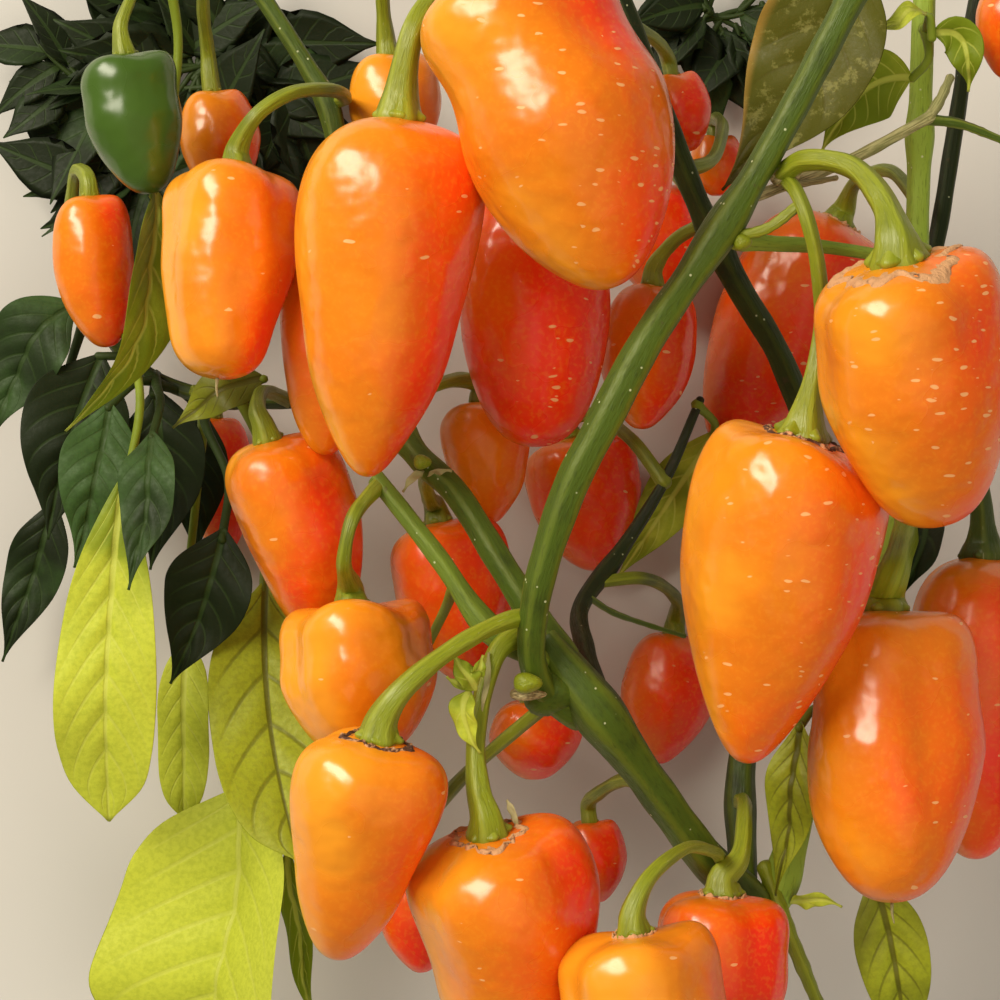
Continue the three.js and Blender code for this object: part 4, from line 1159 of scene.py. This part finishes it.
def stem_material(green, dark_green, pith, depth):
    """Green stem: mixed from its lit and shaded greens by the painted shade on the mesh, paler along
    its ribs as a painted highlight, patched with darker green and brown, finely streaked along its
    length, with pale specks, and a pale pith where it is cut."""
    m = Finish("stem_skin")
    streaks = m.grain(6.0)
    # dark is the limb's painted shade, with random darker patches.
    dark = m.plus(m.named("dark"), m.ramp(m.noise(75.0, 4.0, 0.6), 0.4, 0.75, -0.05, 0.5))
    tone = m.mix(m.ramp(dark, 0.0, 1.0), green, dark_green)
    # Painted highlight along the ribs, weaker where the painted shade is.
    pale = m.times(m.ramp(m.named("rib"), 0.45, 1.0, 0.0, 0.4),
                   m.ramp(m.named("dark"), 0.0, 1.0, 1.0, 0.15))
    tone = m.mix(pale, tone, STEM_RIB_HIGHLIGHT)
    tone = m.mix(m.named("bright"), tone, BRIGHT_STEM)
    tone = m.mix(m.ramp(streaks, 0.5, 0.78, 0.0, 0.45), tone, dark_green)
    tone = m.mix(m.ramp(m.noise(160.0, 5.0, 0.7), 0.62, 0.72, 0.0, 0.6), tone, BARK_BROWN)
    distance, chance, _ = m.cells(m.place(), 520.0)
    speck = m.times(m.ramp(distance, 0.16, 0.08), m.sum("LESS_THAN", chance, 0.3))
    tone = m.mix(m.times(speck, 0.75), tone, STEM_SPECK)
    tone = m.mix(m.ramp(m.named("cut"), 0.5, 0.9), tone, pith)
    return m.finished(tone, m.ramp(streaks, 0.3, 0.7, 0.42, 0.6), streaks, 0.4, depth, specular=0.35)


def leaf_material(name, light, shaded, vein, petiole, gloss):
    """Leaf: green moved between its lit and shaded colours by the tone on the mesh, which is painted
    light and shade, and by random unevenness, with its own midrib and side veins, yellowing mottle
    where the mesh asks for it, and a green petiole."""
    m = Finish(name)
    fine = m.noise(900.0, 3.0, 0.6)
    # The tone on the mesh is painted light and shade.
    light_and_shade_shift = m.ramp(m.named("tone"), -2.5, 2.5, -1.2, 1.2)
    depth = m.plus(m.ramp(m.noise(60.0, 3.0), 0.3, 0.7, 0.0, 0.7), light_and_shade_shift)
    tone = m.mix(m.ramp(depth, 0.0, 1.0), light, shaded)
    tone = m.mix(m.ramp(fine, 0.35, 0.7, 0.0, 0.25), tone, shaded)

    blade = m.named("blade")
    off_rib = m.sum("ABSOLUTE", m.named("rib"))
    rib_width = m.ramp(m.named("along"), 0.0, 1.0, 0.65, 0.2)
    midrib = m.ramp(m.minus(off_rib, rib_width), 0.25, -0.15)
    off_vein = m.sum("ABSOLUTE", m.minus(m.sum("FRACT", m.plus(m.named("row"), 10.5)), 0.5))
    reach = m.ramp(m.sum("ABSOLUTE", m.named("across")), 1.0, 0.5)
    side_vein = m.times(m.ramp(off_vein, 0.10, 0.02), reach)
    veins = m.sum("MAXIMUM", m.times(side_vein, 0.5), m.times(midrib, 0.75))
    veins = m.times(veins, m.ramp(m.named("mottle"), 0.0, 1.0, 1.0, 0.3))
    veins = m.times(veins, blade)
    # Veins take their own colour; the olive leaf's dark veins are painted shade in their grooves.
    tone = m.mix(veins, tone, vein)

    mottle = m.times(m.ramp(m.noise(210.0, 5.0, 0.75), 0.52, 0.62), m.named("mottle"))
    rim = m.times(m.named("mottle"), m.ramp(m.named("across"), -0.8, -0.97))
    tone = m.mix(m.times(mottle, 0.6), tone, LEAF_MOTTLE)
    tone = m.mix(m.times(rim, 0.9), tone, LEAF_RIM)
    tone = m.mix(m.minus(1.0, blade), tone, petiole)
    raised = m.plus(m.times(veins, -0.6), m.times(fine, 0.35))
    return m.finished(tone, m.ramp(fine, 0.3, 0.7, gloss, gloss + 0.15), raised, 0.5, 0.0005,
                      specular=0.22)


def dry_material():
    """Dry stalk or bark: tan with grey-brown streaks and green patches."""
    m = Finish("dry_twig_bark")
    streaks = m.grain(4.0)
    tone = m.mix(m.ramp(streaks, 0.35, 0.65), DRY_TAN, DRY_BROWN)
    tone = m.mix(m.ramp(m.noise(60.0), 0.45, 0.7, 0.0, 0.6), tone, DRY_GREEN)
    return m.finished(tone, 0.7, streaks, 0.7, 0.0005)


def floor_material(floor_colour):
    """A plain pale floor with a trace of unevenness."""
    m = Finish("pale_floor")
    return m.finished(m.mix(m.ramp(m.noise(30.0), 0.3, 0.7, 0.0, 0.06), floor_colour, FLOOR_GREY), 0.7)


def made_once(name, make, *colours):
    """A material by name, made when it is first asked for."""
    return bpy.data.materials.get(name) or make(*colours)


# Settings a user would change

def colour(name, description, default):
    """A colour setting."""
    return FloatVectorProperty(name=name, description=description, subtype="COLOR", min=0, max=1,
                               default=default)


def metres(name, description, default, least=0.0):
    """A length setting, in metres."""
    return FloatProperty(name=name, description=description, subtype="DISTANCE", unit="LENGTH",
                         min=least, default=default)


def watts(name, description, default):
    """A light's power setting, in watts."""
    return FloatProperty(name=name, description=description, subtype="POWER", unit="POWER", min=0,
                         default=default)


class ChilliFruitSettings(bpy.types.PropertyGroup):
    """Colours of the fruits"""
    ripe: colour("Ripe skin", "Skin of a ripe orange fruit", (0.82, 0.205, 0.004))
    # The deep skin also colours the painted shade on the fruits' right sides.
    deep: colour("Deep skin", "Skin of the reddest fruits", (0.95, 0.030, 0.003))
    amber: colour("Shoulders", "Yellower tint round the stalk", (0.92, 0.34, 0.015))
    fleck: colour("Flecks", "Pale corky dashes", (0.95, 0.50, 0.20))
    unripe: colour("Unripe skin", "Skin of a green fruit", (0.050, 0.108, 0.010))
    tan: colour("Scar ridges", "Tan cork round the stalk", (0.68, 0.36, 0.17))
    brown: colour("Scar cracks", "Brown cracks in the cork", (0.08, 0.028, 0.014))
    relief: metres("Skin relief", "Depth of the waves in the skin", 0.0009)


class ChilliStemSettings(bpy.types.PropertyGroup):
    """Colours of stems and stalks"""
    green: colour("Stem", "Skin of a lit stem", (0.066, 0.108, 0.008))
    dark_green: colour("Dark stem", "Skin of a shaded stem", (0.014, 0.022, 0.005))
    stalk: colour("Stalk", "Fresh fruit stalk", (0.23, 0.27, 0.010))
    stalk_shaded: colour("Shaded stalk", "Stalk in shade", (0.035, 0.055, 0.008))
    pith: colour("Pith", "Cut face of a stem", (0.55, 0.60, 0.32))
    relief: metres("Bark relief", "Depth of the streaks in a stem's skin", 0.0005)


class ChilliLeafSettings(bpy.types.PropertyGroup):
    """Colours of the leaves"""
    bright_leaf: colour("Bright leaf", "Leaf in full light", (0.52, 0.57, 0.048))
    olive_leaf: colour("Olive leaf", "Older leaf", (0.32, 0.36, 0.018))
    dark_leaf: colour("Dark leaf", "Leaf in deep shade", (0.045, 0.095, 0.022))


class ChilliStageSettings(bpy.types.PropertyGroup):
    """Floor and light"""
    floor: colour("Floor", "Plain pale floor", (0.62, 0.60, 0.57))
    floor_size: metres("Floor size", "Side of the square floor", 6.0, least=1.0)
    key: watts("Key light", "Power of the light from upper left", 12.3)
    key_size: metres("Key size", "Width of the key light", 0.38, least=0.01)
    fill: watts("Fill light", "Power of the wide overhead light", 7.2)
    sky: FloatProperty(name="Surround", description="Strength of the light from all round", min=0,
                       default=0.15)


# Operators

class ChilliOperator:
    """What all the operators share"""
    bl_options = {"REGISTER", "UNDO"}

    @classmethod
    def poll(cls, context):
        return context.scene is not None


class BRANCH_OT_stage(ChilliOperator, bpy.types.Operator):
    """Floor, lights, surround and the camera that looks straight down"""
    bl_idname = "branch.stage"
    bl_label = "Stage"

    def execute(self, context):
        scene = context.scene
        look = scene.chilli_stage
        mesh = bpy.data.meshes.new("floor")
        half = look.floor_size / 2
        mesh.from_pydata([(-half, -half, 0), (half, -half, 0), (half, half, 0), (-half, half, 0)],
                         [], [(0, 1, 2, 3)])
        mesh.materials.append(floor_material(look.floor))
        floor = bpy.data.objects.new("floor", mesh)
        scene.collection.objects.link(floor)
        for name, energy, size in (("key", look.key, look.key_size), ("fill", look.fill, FILL_SIZE)):
            direction, distance, tall, glints = LIGHTS[name]
            light = bpy.data.lights.new(name, "AREA")
            light.energy = energy
            light.shape = "RECTANGLE"
            light.size = size
            light.size_y = size * tall
            light.color = LIGHT_COLOUR
            lamp = bpy.data.objects.new(name, light)
            towards = Vector(direction).normalized()
            lamp.location = AIM + towards * distance
            lamp.rotation_euler = towards.to_track_quat("Z", "Y").to_euler()
            lamp.visible_glossy = glints
            scene.collection.objects.link(lamp)
        world = bpy.data.worlds.new("surround")
        world.use_nodes = True
        backdrop = world.node_tree.nodes["Background"]
        backdrop.inputs["Color"].default_value = SURROUND_COLOUR
        backdrop.inputs["Strength"].default_value = look.sky
        scene.world = world
        camera = bpy.data.cameras.new("camera")
        camera.sensor_width = SENSOR
        camera.lens = PICTURE_FOCAL / PICTURE_SIZE * SENSOR
        eye = bpy.data.objects.new("camera", camera)
        eye.location = Vector((*CENTRE, EYE_HEIGHT)) * MM
        scene.collection.objects.link(eye)
        scene.camera = eye
        scene.view_settings.view_transform = "Standard"
        return {"FINISHED"}


class BRANCH_OT_limbs(ChilliOperator, bpy.types.Operator):
    """Stems and boughs as tapering, ribbed bars"""
    bl_idname = "branch.limbs"
    bl_label = "Stems and boughs"

    def execute(self, context):
        material = stem_skin(context)
        for name, limb in LIMBS.items():
            slot = "dark_stem" if limb.dark > DARK_LIMB else "stem"
            make_piece(f"{name}_skin", [limb_skin(name, limb)], material, slot, name)
        return {"FINISHED"}


class BRANCH_OT_fruits(ChilliOperator, bpy.types.Operator):
    """Fruits, each with its stalk, calyx and what is at its crown and tip"""
    bl_idname = "branch.fruits"
    bl_label = "Fruits"

    def execute(self, context):
        look = context.scene.chilli_fruit
        stem = context.scene.chilli_stem
        orange = fruit_material("ripe_skin", look.ripe, look.deep, look.amber, look.fleck, look.relief)
        unripe = fruit_material("unripe_skin", *[look.unripe] * 4, look.relief)
        stalk = stalk_material("fruit_stalk", stem.stalk, stem.stalk_shaded)
        scar = scar_material(look.tan, look.brown)
        dry = made_once("dry_twig_bark", dry_material)
        for name in FRUITS:
            f = complete_fruit(name)
            skin = unripe if f.kind == "unripe_fruit" else orange
            make_piece(f"{name}_skin", [fruit_body(f)], skin, f.kind, name)
            make_piece(f"{name}_stalk", [stalk_skin(f), calyx_skin(f)], stalk, "stalk", name)
            if f.scar:
                make_piece(f"{name}_scar", [scar_skin(f)], scar, "stalk", name)
            if f.thread:
                make_piece(f"{name}_thread", [thread_skin(f)], dry, "stalk", name)
        return {"FINISHED"}


class BRANCH_OT_leaves(ChilliOperator, bpy.types.Operator):
    """The single leaves and small sprays, each blade with its veins and petiole"""
    bl_idname = "branch.leaves"
    bl_label = "Leaves"

    def execute(self, context):
        materials = leaf_skins_by_slot(context)
        for name, (slot, petioles, leaves) in SPRAYS.items():
            skins = [blade_skin(leaf) for leaf in leaves] + [petiole_skin(way) for way in petioles]
            make_piece(f"{name}_skin", skins, materials[slot], slot, STANDS_WITH.get(name, name))
        return {"FINISHED"}


class BRANCH_OT_twigs(ChilliOperator, bpy.types.Operator):
    """Small twigs, leaflets, bracts, buds and leaf scars"""
    bl_idname = "branch.twigs"
    bl_label = "Twigs and scraps"

    def execute(self, context):
        stem = context.scene.chilli_stem
        looks = {
            "stem": (stem_skin(context), "stem"),
            "dry": (made_once("dry_twig_bark", dry_material), "stem"),
            "stalk": (stalk_material("green_twig", stem.stalk, stem.stalk_shaded), "stalk"),
            "dark": (stalk_material("dark_twig", stem.green, stem.dark_green), "dark_stem"),
            **{slot: (material, slot) for slot, material in leaf_skins_by_slot(context).items()},
        }
        for name, (look, limb, places, foot, tip) in TWIGS.items():
            make_piece(name, [twig_skin(places, foot, tip)], *looks[look], limb)
        for name, (look, limb, *places, width) in SCRAPS.items():
            # Dark-leaf scraps are given a tone of painted shade.
            scrap = Leaf(*places, width, tone=1.0 if look == "dark_leaf" else 0.0, **SCRAP_SHAPE)
            make_piece(name, [blade_skin(scrap)], *looks[look], limb)
        for name, (look, limb, place, radii) in BUDS.items():
            make_piece(name, [bud_skin(place, radii)], *looks[look], limb)
        return {"FINISHED"}


class BRANCH_OT_foliage(ChilliOperator, bpy.types.Operator):
    """The foliage far behind, dark with painted shade, grown by a seeded branching rule"""
    bl_idname = "branch.foliage"
    bl_label = "Foliage"

    def execute(self, context):
        dark = leaf_skins_by_slot(context)["dark_leaf"]
        for name, mass in FOLIAGE.items():
            twigs, leaves = foliage_skins(**mass)
            make_piece(f"{name}_twigs", [twigs], dark, "dark_stem", name)
            make_piece(f"{name}_leaves", leaves, dark, "dark_leaf", name)
        return {"FINISHED"}


def stem_skin(context):
    """The stem material."""
    look = context.scene.chilli_stem
    return made_once("stem_skin", stem_material, look.green, look.dark_green, look.pith, look.relief)


def leaf_skins_by_slot(context):
    """The three leaf materials by slot."""
    look = context.scene.chilli_leaf
    return {
        slot: made_once(f"{slot}_skin", leaf_material, f"{slot}_skin", getattr(look, slot), *more)
        for slot, more in LEAF_LOOKS.items()
    }


class BRANCH_PT_panel(bpy.types.Panel):
    """Settings and steps of the branch"""
    bl_label = "Chilli pepper branch"
    bl_idname = "BRANCH_PT_panel"
    bl_space_type = "VIEW_3D"
    bl_region_type = "UI"
    bl_category = "Chilli"

    def draw(self, context):
        column = self.layout.column()
        for group in SETTINGS:
            settings = getattr(context.scene, group)
            for key in settings.__annotations__:
                column.prop(settings, key)
        for step in STEPS:
            column.operator(step.bl_idname)


SETTINGS = {
    "chilli_fruit": ChilliFruitSettings,
    "chilli_stem": ChilliStemSettings,
    "chilli_leaf": ChilliLeafSettings,
    "chilli_stage": ChilliStageSettings,
}
STEPS = (
    BRANCH_OT_stage, BRANCH_OT_limbs, BRANCH_OT_fruits, BRANCH_OT_leaves, BRANCH_OT_twigs,
    BRANCH_OT_foliage,
)


def register():
    for cls in (*SETTINGS.values(), *STEPS, BRANCH_PT_panel):
        bpy.utils.register_class(cls)
    for name, cls in SETTINGS.items():
        setattr(bpy.types.Scene, name, PointerProperty(type=cls))


def unregister():
    for name in SETTINGS:
        delattr(bpy.types.Scene, name)
    for cls in reversed((*SETTINGS.values(), *STEPS, BRANCH_PT_panel)):
        bpy.utils.unregister_class(cls)


def main():
    register()
    for step in STEPS:
        group, name = step.bl_idname.split(".")
        getattr(getattr(bpy.ops, group), name)()


if __name__ == "__main__":
    main()
